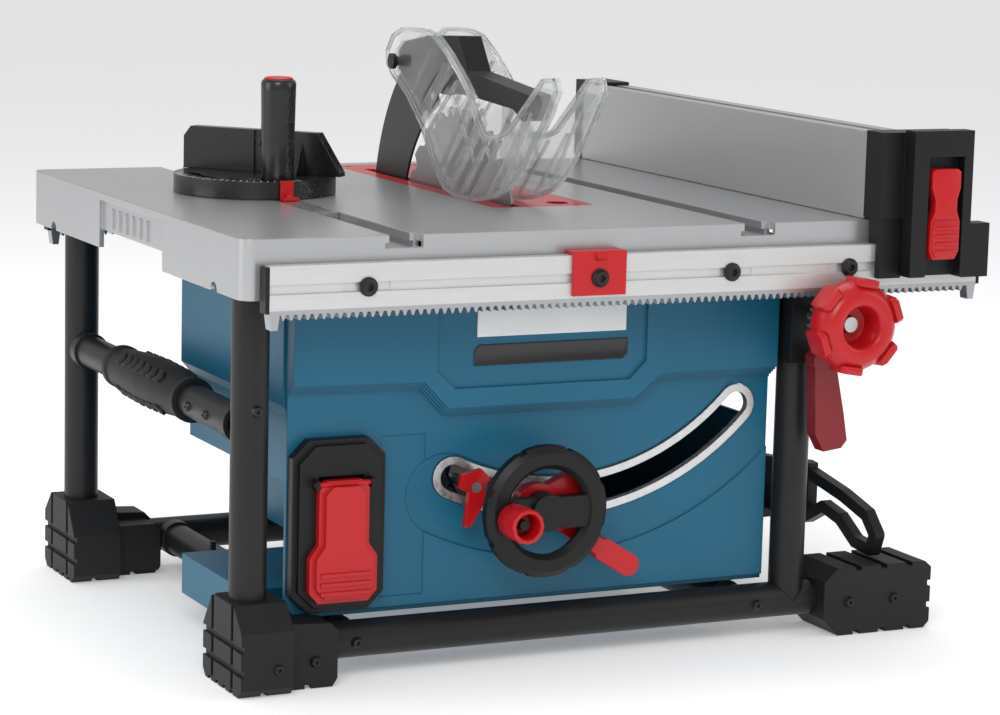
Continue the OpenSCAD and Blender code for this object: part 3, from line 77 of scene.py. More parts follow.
def place(x: float, y: float, z: float) -> Vector:
    """Row-frame position in metres of a point on the drawing's axes.

    Args:
        x: millimetres from the table's left edge.
        y: millimetres from the table's front edge.
        z: millimetres above the ground.

    Returns:
        The point in metres.
    """
    return Vector(((x - ORIGIN_X) * MM, (y - ORIGIN_Y) * MM, z * MM))


def centred() -> Matrix:
    """Move that brings a piece drawn round the drawing's corner to the origin.

    Returns:
        The matrix of the move.
    """
    return Matrix.Translation(-place(0, 0, 0))


class Surface(Enum):
    """How a finish is broken up at small scale."""

    GRAIN = "grain"
    POWDER = "powder"
    GROUND = "ground"
    SPANGLE = "spangle"
    MOULDED = "moulded"
    CLEAR = "clear"


@dataclass(frozen=True)
class Finish:
    """One real-world finish and how its material is made."""

    name: str
    slot: str
    colour: Point
    surface: Surface
    rough: float = 0.4
    rough_spread: float = 0.1
    metal: float = 0.0
    shade_spread: float = 0.08
    grain_scale: float = 900.0
    grain_depth: float = 0.1
    edge_mm: float = 0.6
    stretch: Point = (1.0, 1.0, 1.0)
    coat: float = 0.0
    shine: float = 0.5
    index: float = 1.46
    solidity: float = 1.0

    def material(self) -> bpy.types.Material:
        """Make the node material, or fetch it when it is there already.

        Returns:
            The material.
        """
        known = bpy.data.materials.get(self.name)
        if known is not None:
            return known
        mat = bpy.data.materials.new(self.name)
        mat.use_nodes = True
        tree = mat.node_tree
        shader = tree.nodes["Principled BSDF"]
        shader.inputs["Metallic"].default_value = self.metal
        shader.inputs["Coat Weight"].default_value = self.coat
        shader.inputs["Specular IOR Level"].default_value = self.shine
        coords = tree.nodes.new("ShaderNodeTexCoord")
        mapping = tree.nodes.new("ShaderNodeMapping")
        mapping.inputs["Scale"].default_value = self.stretch
        tree.links.new(coords.outputs["Object"], mapping.inputs["Vector"])
        broad = self._noise(tree, mapping, 14.0, 3.0)
        fine = self._fine(tree, mapping)
        self._colour(tree, shader, broad, fine)
        self._roughness(tree, shader, fine)
        self._relief(tree, shader, fine)
        if self.surface is Surface.CLEAR:
            shader.inputs["Transmission Weight"].default_value = 0.93
            shader.inputs["IOR"].default_value = self.index
            shader.inputs["Alpha"].default_value = self.solidity
        mat.diffuse_color = (*self.colour, 1.0)
        return mat

    def _noise(
        self,
        tree: bpy.types.NodeTree,
        mapping: bpy.types.Node,
        scale: float,
        detail: float,
    ) -> bpy.types.Node:
        """Add a noise texture.

        Args:
            tree: the material's node tree.
            mapping: the node that gives coordinates.
            scale: noise scale per metre.
            detail: octaves of detail.

        Returns:
            The texture node.
        """
        node = tree.nodes.new("ShaderNodeTexNoise")
        node.inputs["Scale"].default_value = scale
        node.inputs["Detail"].default_value = detail
        tree.links.new(mapping.outputs["Vector"], node.inputs["Vector"])
        return node

    def _fine(
        self, tree: bpy.types.NodeTree, mapping: bpy.types.Node
    ) -> bpy.types.Node:
        """Add the small-scale texture that suits the surface.

        Args:
            tree: the material's node tree.
            mapping: the node that gives coordinates.

        Returns:
            The texture node.
        """
        if self.surface is Surface.SPANGLE:
            node = tree.nodes.new("ShaderNodeTexVoronoi")
            node.inputs["Scale"].default_value = self.grain_scale
            tree.links.new(mapping.outputs["Vector"], node.inputs["Vector"])
            return node
        return self._noise(tree, mapping, self.grain_scale, 2.0)

    def _colour(
        self,
        tree: bpy.types.NodeTree,
        shader: bpy.types.Node,
        broad: bpy.types.Node,
        fine: bpy.types.Node,
    ) -> None:
        """Vary the colour gently over the piece and in its grain.

        Args:
            tree: the material's node tree.
            shader: the surface shader.
            broad: slow variation.
            fine: small variation.
        """
        mixed = tree.nodes.new("ShaderNodeMath")
        mixed.operation = "MULTIPLY_ADD"
        mixed.inputs[1].default_value = 0.5
        tree.links.new(_factor(broad), mixed.inputs[0])
        half = tree.nodes.new("ShaderNodeMath")
        half.operation = "MULTIPLY"
        half.inputs[1].default_value = 0.5
        tree.links.new(_factor(fine), half.inputs[0])
        tree.links.new(half.outputs[0], mixed.inputs[2])
        ramp = tree.nodes.new("ShaderNodeValToRGB")
        low = [c * (1.0 - self.shade_spread) for c in self.colour]
        high = [min(1.0, c * (1.0 + self.shade_spread)) for c in self.colour]
        ramp.color_ramp.elements[0].position = 0.3
        ramp.color_ramp.elements[0].color = (*low, 1.0)
        ramp.color_ramp.elements[1].position = 0.7
        ramp.color_ramp.elements[1].color = (*high, 1.0)
        tree.links.new(mixed.outputs[0], ramp.inputs["Fac"])
        tree.links.new(ramp.outputs["Color"], shader.inputs["Base Color"])

    def _roughness(
        self,
        tree: bpy.types.NodeTree,
        shader: bpy.types.Node,
        fine: bpy.types.Node,
    ) -> None:
        """Vary the roughness with the grain.

        Args:
            tree: the material's node tree.
            shader: the surface shader.
            fine: small variation.
        """
        spread = tree.nodes.new("ShaderNodeMapRange")
        spread.inputs["To Min"].default_value = max(0.02, self.rough - self.rough_spread)
        spread.inputs["To Max"].default_value = min(1.0, self.rough + self.rough_spread)
        tree.links.new(_factor(fine), spread.inputs["Value"])
        tree.links.new(spread.outputs["Result"], shader.inputs["Roughness"])

    def _relief(
        self,
        tree: bpy.types.NodeTree,
        shader: bpy.types.Node,
        fine: bpy.types.Node,
    ) -> None:
        """Raise the grain and soften the edges' highlights.

        Args:
            tree: the material's node tree.
            shader: the surface shader.
            fine: small variation.
        """
        bump = tree.nodes.new("ShaderNodeBump")
        bump.inputs["Strength"].default_value = self.grain_depth
        bump.inputs["Distance"].default_value = 0.0004
        tree.links.new(_factor(fine), bump.inputs["Height"])
        if self.edge_mm > 0:
            edge = tree.nodes.new("ShaderNodeBevel")
            edge.samples = 6
            edge.inputs["Radius"].default_value = self.edge_mm * MM
            tree.links.new(edge.outputs["Normal"], bump.inputs["Normal"])
        tree.links.new(bump.outputs["Normal"], shader.inputs["Normal"])

    def dress(self, obj: bpy.types.Object) -> None:
        """Give an object this finish in place of what it has."""
        obj.data.materials.clear()
        obj.data.materials.append(self.material())


def _factor(node: bpy.types.Node) -> bpy.types.NodeSocket:
    """The value output of a noise or Voronoi texture."""
    return node.outputs["Fac"] if "Fac" in node.outputs else node.outputs["Distance"]


CAST_ALLOY = Finish("cast_alloy_ground", "cast_alloy", (0.45, 0.455, 0.465), Surface.GRAIN,
                    rough=0.30, rough_spread=0.04, metal=0.72, shade_spread=0.035,
                    grain_scale=1500.0, grain_depth=0.03, edge_mm=1.2)
RAIL_ALLOY = Finish("rail_alloy_anodised", "rail_alloy", (0.60, 0.605, 0.60), Surface.GROUND,
                    rough=0.36, metal=0.55, shade_spread=0.05, grain_scale=500.0,
                    grain_depth=0.1, edge_mm=0.5, stretch=(0.06, 1.0, 1.0))
FENCE_ALLOY = Finish("fence_alloy_anodised", "rail_alloy", (0.40, 0.405, 0.41), Surface.GROUND,
                     rough=0.38, metal=0.5, shade_spread=0.05, grain_scale=500.0,
                     grain_depth=0.1, edge_mm=0.5, stretch=(1.0, 0.05, 1.0))
RED_PLASTIC = Finish("red_moulding", "red_plastic", (0.47, 0.006, 0.010), Surface.MOULDED,
                     rough=0.33, shade_spread=0.06, grain_scale=600.0, grain_depth=0.08,
                     edge_mm=1.0, coat=0.12, shine=0.34)
DARK_RED = Finish("dark_red_moulding", "dark_red_plastic", (0.20, 0.010, 0.014),
                  Surface.MOULDED, rough=0.35, grain_depth=0.08, edge_mm=1.2, coat=0.1, shine=0.34)
BLUE_PLASTIC = Finish("blue_moulding", "blue_plastic", (0.002, 0.108, 0.195),
                      Surface.MOULDED, rough=0.42, rough_spread=0.06, shade_spread=0.07,
                      grain_scale=1400.0, grain_depth=0.1, edge_mm=1.2, shine=0.42)
POWDER_COAT = Finish("black_powder_coat", "black_tube", (0.012, 0.012, 0.013),
                     Surface.POWDER, rough=0.38, shade_spread=0.15, grain_scale=1300.0,
                     grain_depth=0.2, edge_mm=0.8, shine=0.3)
RUBBER = Finish("black_moulded_rubber", "black_rubber", (0.010, 0.010, 0.011),
                Surface.GRAIN, rough=0.55, shade_spread=0.2, grain_scale=1100.0,
                grain_depth=0.22, edge_mm=1.4, shine=0.3)
BLACK_PLASTIC = Finish("black_moulding", "black_plastic", (0.007, 0.007, 0.008),
                       Surface.MOULDED, rough=0.42, shade_spread=0.15, grain_scale=1500.0,
                       grain_depth=0.1, edge_mm=0.9, shine=0.28)
GLOSS_BLACK = Finish("black_gloss_moulding", "black_plastic", (0.007, 0.007, 0.008),
                     Surface.MOULDED, rough=0.26, shade_spread=0.1, grain_scale=900.0,
                     grain_depth=0.06, edge_mm=1.2, coat=0.1)
BLACK_SCREW = Finish("blackened_steel", "black_screw", (0.03, 0.03, 0.032), Surface.GRAIN,
                     rough=0.35, metal=0.7, grain_scale=1600.0, edge_mm=0.4)
GREEN_PLASTIC = Finish("green_moulding", "green_plastic", (0.01, 0.22, 0.05),
                       Surface.MOULDED, rough=0.35, grain_depth=0.08, edge_mm=0.8)
GALVANISED = Finish("galvanised_sheet", "galvanised_steel", (0.60, 0.61, 0.615),
                    Surface.SPANGLE, rough=0.3, rough_spread=0.1, metal=0.85,
                    shade_spread=0.12, grain_scale=160.0, grain_depth=0.05, edge_mm=0.5)
RACK_STEEL = Finish("rack_steel", "rack_steel", (0.36, 0.365, 0.37), Surface.GRAIN,
                    rough=0.4, metal=0.7, shade_spread=0.1, grain_scale=1200.0, edge_mm=0.3)
BRIGHT_STEEL = Finish("ground_bright_steel", "bright_steel", (0.56, 0.565, 0.57),
                      Surface.GROUND, rough=0.27, metal=0.95, grain_scale=900.0,
                      grain_depth=0.08, edge_mm=0.4, stretch=(1.0, 0.08, 1.0))
CLEAR = Finish("clear_polycarbonate", "clear_plastic", (0.93, 0.95, 0.96), Surface.CLEAR,
               rough=0.03, rough_spread=0.01, shade_spread=0.02, grain_scale=60.0,
               grain_depth=0.004, edge_mm=0.0, index=1.12, solidity=0.42)
CLEAR_RIB = Finish("clear_polycarbonate_rib", "clear_plastic", (0.80, 0.83, 0.84),
                   Surface.CLEAR, rough=0.1, rough_spread=0.03, shade_spread=0.04,
                   grain_scale=120.0, grain_depth=0.01, edge_mm=0.0, index=1.34,
                   solidity=0.8)
BLADE_STEEL = Finish("blade_steel", "bright_steel", (0.27, 0.27, 0.275), Surface.GROUND,
                     rough=0.36, rough_spread=0.05, metal=0.7, shade_spread=0.06,
                     grain_scale=160.0, grain_depth=0.03, edge_mm=0.0)
BADGE_PALE = Finish("badge_pale", "blue_plastic", (0.75, 0.77, 0.78), Surface.MOULDED,
                    rough=0.4, grain_depth=0.05, edge_mm=0.4)
SCALE_PALE = Finish("scale_pale", "black_plastic", (0.6, 0.6, 0.6), Surface.MOULDED,
                    rough=0.5, grain_depth=0.05, edge_mm=0.0)


class Bench:
    """The modelling moves that the pieces share."""

    @staticmethod
    def clear_selection() -> None:
        """Leave nothing selected and no object in edit mode."""
        if bpy.context.object is not None and bpy.context.object.mode != "OBJECT":
            bpy.ops.object.mode_set(mode="OBJECT")
        bpy.ops.object.select_all(action="DESELECT")

    @staticmethod
    def settle(
        obj: bpy.types.Object,
        name: str,
        finish: Finish,
        body: str,
        bevel_mm: float = 0.0,
        segments: int = 2,
        smooth_deg: float = 35.0,
    ) -> bpy.types.Object:
        """Finish a piece: bake its place, round it, dress it and let it ride.

        Args:
            obj: the piece.
            name: its name.
            finish: its finish.
            body: the CAD body it moves with.
            bevel_mm: width of its edge rounding.
            segments: segments of the rounding.
            smooth_deg: edges flatter than this are shaded smooth.

        Returns:
            The piece.
        """
        if obj.mode != "OBJECT":
            bpy.ops.object.mode_set(mode="OBJECT")
        Bench.clear_selection()
        obj.select_set(True)
        bpy.context.view_layer.objects.active = obj
        bpy.ops.object.transform_apply(location=True, rotation=True, scale=True)
        if bevel_mm > 0:
            mod = obj.modifiers.new("edges", "BEVEL")
            mod.width = bevel_mm * MM
            mod.segments = segments
            mod.limit_method = "ANGLE"
            mod.angle_limit = math.radians(28)
            bpy.ops.object.modifier_apply(modifier=mod.name)
        bpy.ops.object.mode_set(mode="EDIT")
        bpy.ops.mesh.select_all(action="SELECT")
        bpy.ops.mesh.remove_doubles(threshold=0.00001)
        bpy.ops.mesh.normals_make_consistent(inside=False)
        bpy.ops.object.mode_set(mode="OBJECT")
        bpy.ops.object.shade_smooth_by_angle(angle=math.radians(smooth_deg))
        obj.name = name
        finish.dress(obj)
        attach(obj, body)
        LOG.info("built %s on %s", name, body)
        return obj

    @staticmethod
    def turned(
        profile: Outline, centre: Point, axis: str = "Y", sides: int = 64
    ) -> bpy.types.Object:
        """Turn a round shape by drawing a ring out from step to step.

        Args:
            profile: (radius, distance along the axis) in millimetres, outer skin first.
            centre: place of distance 0 on the drawing's axes.
            axis: the axis it is turned about: X, Y or Z.
            sides: sides of the ring.

        Returns:
            The shape, in object mode.
        """
        Bench.clear_selection()
        first_r, first_d = profile[0]
        bpy.ops.mesh.primitive_circle_add(vertices=sides, radius=first_r * MM, location=(0, 0, 0))
        obj = bpy.context.object
        bpy.ops.object.mode_set(mode="EDIT")
        bpy.ops.mesh.select_mode(type="VERT")
        bpy.ops.mesh.select_all(action="SELECT")
        bpy.ops.transform.translate(value=(0, 0, first_d * MM))
        radius, along = first_r, first_d
        for next_r, next_d in profile[1:]:
            bpy.ops.mesh.extrude_edges_move(
                TRANSFORM_OT_translate={"value": (0, 0, (next_d - along) * MM)}
            )
            scale = next_r / radius
            bpy.ops.transform.resize(
                value=(scale, scale, 1.0), center_override=(0, 0, next_d * MM)
            )
            radius, along = next_r, next_d
        if abs(radius - first_r) > 1e-6 or abs(along - first_d) > 1e-6:
            bpy.ops.mesh.edge_face_add()
            bpy.ops.mesh.select_all(action="DESELECT")
            bpy.ops.mesh.select_non_manifold(extend=False)
            bpy.ops.mesh.edge_face_add()
        bpy.ops.object.mode_set(mode="OBJECT")
        turn = {"X": Matrix.Rotation(math.pi / 2, 4, "Y"),
                "Y": Matrix.Rotation(-math.pi / 2, 4, "X"),
                "Z": Matrix.Identity(4)}[axis]
        obj.matrix_world = Matrix.Translation(place(*centre)) @ turn
        return obj

    @staticmethod
    def plate(
        outline: Outline, plane: str, start: float, end: float
    ) -> bpy.types.Object:
        """Cut a plate to an outline and draw it out to its thickness.

        Args:
            outline: corners in millimetres on the drawing's axes.
            plane: XZ, YZ or XY, the plane of the outline.
            start: where the plate starts along the third axis.
            end: where it ends.

        Returns:
            The plate, in object mode.
        """
        Bench.clear_selection()
        bpy.ops.mesh.primitive_circle_add(
            vertices=len(outline), radius=0.01, fill_type="NGON", location=(0, 0, 0)
        )
        obj = bpy.context.object
        spots = {"XZ": lambda a, b: place(a, start, b), "YZ": lambda a, b: place(start, a, b),
                 "XY": lambda a, b: place(a, b, start)}[plane]
        for vert, (a, b) in zip(obj.data.vertices, outline):
            vert.co = spots(a, b)
        step = (end - start) * MM
        move = {"XZ": (0, step, 0), "YZ": (step, 0, 0), "XY": (0, 0, step)}[plane]
        bpy.ops.object.mode_set(mode="EDIT")
        bpy.ops.mesh.select_all(action="SELECT")
        bpy.ops.mesh.extrude_region_move(TRANSFORM_OT_translate={"value": move})
        bpy.ops.mesh.select_all(action="SELECT")
        bpy.ops.mesh.normals_make_consistent(inside=False)
        bpy.ops.object.mode_set(mode="OBJECT")
        return obj

    @staticmethod
    def crown(
        obj: bpy.types.Object, toward: Point, inset_mm: float, rise_mm: float
    ) -> bpy.types.Object:
        """Inset the faces that look one way and raise what is inside.

        Args:
            obj: the piece.
            toward: the direction that the faces look in.
            inset_mm: width left round the edge.
            rise_mm: height of the raised part; negative sinks it.

        Returns:
            The piece.
        """
        aim = Vector(toward).normalized()
        Bench.clear_selection()
        obj.select_set(True)
        bpy.context.view_layer.objects.active = obj
        bpy.ops.object.mode_set(mode="EDIT")
        bpy.ops.mesh.select_mode(type="FACE")
        bpy.ops.mesh.select_all(action="DESELECT")
        mesh = bmesh.from_edit_mesh(obj.data)
        for face in mesh.faces:
            face.select_set(face.normal.dot(aim) > 0.95)
        bmesh.update_edit_mesh(obj.data)
        bpy.ops.mesh.inset(thickness=inset_mm * MM, depth=0)
        bpy.ops.transform.translate(value=tuple(aim * rise_mm * MM))
        bpy.ops.object.mode_set(mode="OBJECT")
        return obj

    @staticmethod
    def join(parts: list[bpy.types.Object]) -> bpy.types.Object:
        """Join copies of a shape into one piece."""
        Bench.clear_selection()
        for part in parts:
            part.select_set(True)
        bpy.context.view_layer.objects.active = parts[0]
        bpy.ops.object.transform_apply(location=True, rotation=True, scale=True)
        bpy.ops.object.join()
        return bpy.context.object

    @staticmethod
    def weld(obj: bpy.types.Object) -> bpy.types.Object:
        """Weld strips that share their ends and take out the walls between them.

        Args:
            obj: the joined strips.

        Returns:
            The same object.
        """
        bpy.ops.object.mode_set(mode="EDIT")
        bpy.ops.mesh.select_mode(type="FACE")
        bpy.ops.mesh.select_all(action="SELECT")
        bpy.ops.mesh.remove_doubles(threshold=1e-6)
        bpy.ops.mesh.select_all(action="DESELECT")
        bpy.ops.mesh.select_interior_faces()
        bpy.ops.mesh.delete(type="FACE")
        bpy.ops.mesh.select_all(action="SELECT")
        bpy.ops.mesh.normals_make_consistent(inside=False)
        bpy.ops.object.mode_set(mode="OBJECT")
        return obj


def band(outline: Outline, width: float) -> list[Outline]:
    """Straight strips that follow a closed outline on its inner side.

    Args:
        outline: corners of the outline in order.
        width: width of the strips.

    Returns:
        One four-cornered outline for each side.
    """
    count = len(outline)
    area = sum(
        outline[i][0] * outline[(i + 1) % count][1]
        - outline[(i + 1) % count][0] * outline[i][1]
        for i in range(count)
    )
    turn = 1.0 if area > 0 else -1.0
    inner = []
    for i in range(count):
        before, here, after = (Vector(outline[i - 1]), Vector(outline[i]),
                               Vector(outline[(i + 1) % count]))
        in_dir = (here - before).normalized()
        out_dir = (after - here).normalized()
        normal = Vector((-(in_dir.y + out_dir.y), in_dir.x + out_dir.x)) * turn
        inner.append(here + normal.normalized() * width)
    return [[outline[i], outline[(i + 1) % count],
             (inner[(i + 1) % count].x, inner[(i + 1) % count].y), (inner[i].x, inner[i].y)]
            for i in range(count)]


def bar(a: tuple[float, float], b: tuple[float, float], width: float) -> Outline:
    """Long eight-cornered outline between two points.

    Args:
        a: first end.
        b: second end.
        width: width of the bar.

    Returns:
        The outline's corners.
    """
    run = Vector((b[0] - a[0], b[1] - a[1])).normalized()
    side = Vector((-run.y, run.x))
    start, end = Vector(a), Vector(b)
    half, corner = width / 2, width / 5
    points = [end + run * half + side * corner, end + run * corner + side * half,
              start - run * corner + side * half, start - run * half + side * corner,
              start - run * half - side * corner, start - run * corner - side * half,
              end + run * corner - side * half, end + run * half - side * corner]
    return [(p.x, p.y) for p in points]


@dataclass
class Assembly:
    """A group of CAD nodes that are dressed together and given finer pieces."""

    frame: dict
    finishes: dict[str, Finish] = field(default_factory=dict)

    def dress(self) -> None:
        """Give each CAD node of the group its finish."""
        for name, finish in self.finishes.items():
            finish.dress(self.frame["nodes"][name])
            LOG.info("dressed %s with %s", name, finish.name)

    def details(self) -> None:
        """Build the group's finer pieces."""

    def build(self) -> None:
        """Dress the nodes and build the details."""
        self.dress()
        self.details()


@dataclass
class Stand(Assembly):
    """Tube stand with feet and carrying grip."""

    grip_low: float = 165.0
    grip_high: float = 330.0
    grip_x: float = 26.0
    grip_z: float = 193.0
    grip_r: float = 20.0
    pads: int = 4
    pad_steps: tuple[float, ...] = (-44.0, -29.0, -15.0, 0.0, 15.0, 29.0, 44.0)
    pad_sink: float = 1.6
    waist: float = 0.02

    def __post_init__(self) -> None:
        """Name the finishes."""
        self.finishes = {"legs": POWDER_COAT, "base_tubes": POWDER_COAT,
                         "side_tubes": POWDER_COAT, "carry_grip": RUBBER,
                         "corner_feet": RUBBER, "machine_screws": BLACK_SCREW}

    def details(self) -> None:
        """Raise the grip's patterned pads."""
        mid = (self.grip_low + self.grip_high) / 2
        parts = []
        for turn in range(self.pads):
            angle = math.radians(45 + 360 / self.pads * turn)
            for step in self.pad_steps:
                obj = Bench.plate([(-7, -5), (3, -5), (7, 0), (3, 5), (-7, 5), (-3, 0)],
                                  "XY", 0.0, 2.2)
                Bench.clear_selection()
                obj.select_set(True)
                reach = (self.grip_r - self.pad_sink - abs(step) * self.waist) * MM
                centre = place(self.grip_x, mid + step, self.grip_z)
                stand = Matrix.Rotation(-math.pi / 2, 4, "Z")
                tip = Matrix.Rotation(angle, 4, "Y") @ Matrix.Translation((0, 0, reach))
                obj.matrix_world = Matrix.Translation(centre) @ tip @ stand @ centred()
                parts.append(obj)
        Bench.settle(Bench.join(parts), "grip_pads", RUBBER, "stand", 0.4)


@dataclass
class Table(Assembly):
    """Cast table and its insert."""

    def __post_init__(self) -> None:
        """Name the finishes."""
        self.finishes = {"table_top": CAST_ALLOY, "insert_plate": RED_PLASTIC}


@dataclass
class Housing(Assembly):
    """Housing, badge, battery and stick holders."""

    panel_y: float = 42.0

    def __post_init__(self) -> None:
        """Name the finishes."""
        self.finishes = {"housing_shell": BLUE_PLASTIC, "front_panel": BLUE_PLASTIC,
                         "arc_trim": GALVANISED, "push_stick_clips": BLACK_PLASTIC,
                         "battery_dock": BLACK_PLASTIC, "battery_pack": BLACK_PLASTIC,
                         "push_stick": BLACK_PLASTIC, "trunnions": GALVANISED}

    def details(self) -> None:
        """Set the blank badge in its field."""
        y = self.panel_y + 2.5
        pale = Bench.plate([(206, 252), (332, 252), (332, 276), (206, 276)], "XZ", y, y - 1.0)
        Bench.settle(Bench.crown(pale, (0, -1, 0), 1.2, 0.4), "badge_field", BADGE_PALE,
                     "stand", 0.3)
        dark = Bench.plate([(204, 230), (330, 230), (334, 234), (334, 246), (208, 246),
                            (204, 242)], "XZ", y, y - 1.0)
        Bench.settle(Bench.crown(dark, (0, -1, 0), 1.0, -0.4), "badge_strip", GLOSS_BLACK,
                     "stand", 0.3)


@dataclass
class Switch(Assembly):
    """Switch plate, stop paddle and start button."""

    def __post_init__(self) -> None:
        """Name the finishes."""
        self.finishes = {"switch_plate": BLACK_PLASTIC, "stop_paddle": RED_PLASTIC,
                         "start_button": GREEN_PLASTIC}


@dataclass
class Rails(Assembly):
    """Fence rails, racks, pinions, fence and its controls."""

    knob_x: float = 489.0
    knob_y: float = -16.0
    knob_z: float = 259.8
    lobes: int = 6
    lobe_turn: float = 0.17
    lobe_reach: float = 30.9
    latch_pin: Point = (566.0, -29.0, 376.0)
    ridge_drops: tuple[float, ...] = (43.0, 49.0, 55.0, 61.0)
    ridge_half: float = 1.2

    def __post_init__(self) -> None:
        """Name the finishes."""
        self.finishes = {"front_rail": RAIL_ALLOY, "rear_rail": RAIL_ALLOY,
                         "rack_strips": RACK_STEEL, "rail_end_caps": BLACK_PLASTIC,
                         "rail_bolts": BLACK_SCREW, "rail_clip": RED_PLASTIC,
                         "pinion_housings": BLACK_PLASTIC, "pinion_shaft": BRIGHT_STEEL,
                         "pinions": RACK_STEEL, "rail_lock_lever": DARK_RED,
                         "fence_beam": FENCE_ALLOY, "fence_head": BLACK_PLASTIC,
                         "fence_lever": RED_PLASTIC, "fence_rear_clamp": BLACK_PLASTIC}

    def details(self) -> None:
        """Replace the fence knob and the latch lever with their moulded shapes."""
        body = Bench.turned([(9.5, 0), (18, 0), (29, -3), (34.5, -8), (35.5, -14),
                             (34.5, -20), (31, -25.5), (27, -29), (22, -30), (17.5, -29),
                             (15.6, -26), (14.6, -7), (6.2, -6.5), (6.2, -1)],
                            (self.knob_x, self.knob_y, self.knob_z), "Y", 72)
        parts = [body]
        for i in range(self.lobes):
            turn = 2 * math.pi * i / self.lobes + self.lobe_turn
            fin = Bench.plate([(-10, -25), (-7, -28.6), (7, -28.6), (10, -25), (11, -14),
                               (9, -6), (-9, -6), (-11, -14)], "XY", 0.0, 6.0)
            reach = Matrix.Translation((0, 0, self.lobe_reach * MM))
            spin = Matrix.Rotation(turn, 4, "Y")
            fin.matrix_world = (Matrix.Translation(place(self.knob_x, self.knob_y, self.knob_z))
                                @ spin @ reach @ centred())
            parts.append(fin)
        knob = Bench.join(parts)
        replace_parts(Bench.settle(knob, "fence_knob_moulded", RED_PLASTIC, "pinion_set", 0.9, 3),
                    "fence_knob")
        self.lever()

    def lever(self) -> None:
        """Replace the fence's latch lever with its waisted, ridged shape."""
        x, y, z = self.latch_pin
        half = self.ridge_half
        back = [(-10, 2.6), (-13, 0.5), (-13, -12), (-9.5, -21), (-9.5, -30), (-13, -38),
                (-13.5, -61), (-10, -67.5), (10, -67.5), (13.5, -61), (13.5, -38),
                (10.5, -30), (10.5, -21), (13, -12), (13, 0.5), (10, 2.6)]
        pad = [(-11, -37), (-12, -42), (-12, -60), (-9, -66), (9, -66), (12, -60),
               (12, -42), (11, -37)]
        parts = [Bench.plate([(x + a, z + b) for a, b in back], "XZ", y - 6.0, y + 3.4),
                 Bench.plate([(x + a, z + b) for a, b in pad], "XZ", y - 7.6, y - 5.0)]
        for drop in self.ridge_drops:
            ridge = [(x - 10, z - drop - half), (x + 10, z - drop - half),
                     (x + 10, z - drop + half), (x - 10, z - drop + half)]
            parts.append(Bench.plate(ridge, "XZ", y - 8.9, y - 7.0))
        lever = Bench.settle(Bench.join(parts), "fence_lever_waisted", RED_PLASTIC,
                             "fence_latch", 0.7, 3)
        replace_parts(lever, "fence_lever")


@dataclass
class Gauge(Assembly):
    """Mitre gauge."""

    x: float = 123.0
    y: float = 290.0
    turn_deg: float = -47.0
    base_r: float = 65.0
    rim_z: float = 351.4
    mark_deg: float = 5.0
    mark_half: float = 0.35
    long_mark: float = 7.0
    short_mark: float = 4.5
    grip_back: float = 48.0
    grip_h: float = 79.0

    def __post_init__(self) -> None:
        """Name the finishes."""
        self.finishes = {"gauge_bar": BRIGHT_STEEL, "gauge_base": GLOSS_BLACK,
                         "gauge_plate": GLOSS_BLACK, "gauge_handle": BLACK_PLASTIC,
                         "gauge_pointer": RED_PLASTIC}

    def details(self) -> None:
        """Mark the degrees on the rim and give the handle its taper and cap."""
        parts = []
        for step in range(-12, 13):
            half, near = self.mark_half, -self.base_r + 1
            far = near + (self.long_mark if step % 3 == 0 else self.short_mark)
            obj = Bench.plate([(-half, near), (half, near), (half, far), (-half, far)],
                              "XY", self.rim_z - 0.1, self.rim_z + 0.15)
            spin = Matrix.Rotation(math.radians(self.mark_deg * step + self.turn_deg), 4, "Z")
            obj.matrix_world = Matrix.Translation(place(self.x, self.y, 0)) @ spin @ centred()
            parts.append(obj)
        Bench.settle(Bench.join(parts), "gauge_scale", SCALE_PALE, "gauge_head")
        grip = Bench.turned([(12.4, 0), (12.9, 1.2), (13.1, 30), (13.8, 70), (13.9, 75.5),
                             (13.2, 77.8), (11.8, self.grip_h), (2.0, self.grip_h),
                             (0.6, self.grip_h)],
                            (self.x, self.y - self.grip_back, self.rim_z), "Z", 56)
        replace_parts(Bench.settle(grip, "gauge_handle_tapered", GLOSS_BLACK, "gauge_grip"),
                    "gauge_handle")
        cap = Bench.turned([(11.4, 0), (11.4, 1.0), (9.6, 1.9), (4.0, 2.3), (0.6, 2.4)],
                           (self.x, self.y - self.grip_back, self.rim_z + self.grip_h),
                           "Z", 40)
        Bench.settle(cap, "gauge_handle_cap", RED_PLASTIC, "gauge_grip", 0.2)


@dataclass
class Drive(Assembly):
    """Blade, arbor, motor, lift and tilt mechanism."""

    def __post_init__(self) -> None:
        """Name the finishes."""
        self.finishes = {"carriage_frame": RACK_STEEL, "lift_posts": BRIGHT_STEEL,
                         "lead_screw": RACK_STEEL, "lift_block": RACK_STEEL,
                         "motor_housing": BLACK_PLASTIC, "motor_rotor": BRIGHT_STEEL,
                         "arbor_shaft": BRIGHT_STEEL, "arbor_gear": RACK_STEEL,
                         "arbor_bearings": BRIGHT_STEEL, "saw_blade": BLADE_STEEL,
                         "blade_flanges": RACK_STEEL, "arbor_nut": BLACK_SCREW,
                         "riving_knife": BLACK_SCREW, "wheel_shaft": BRIGHT_STEEL}


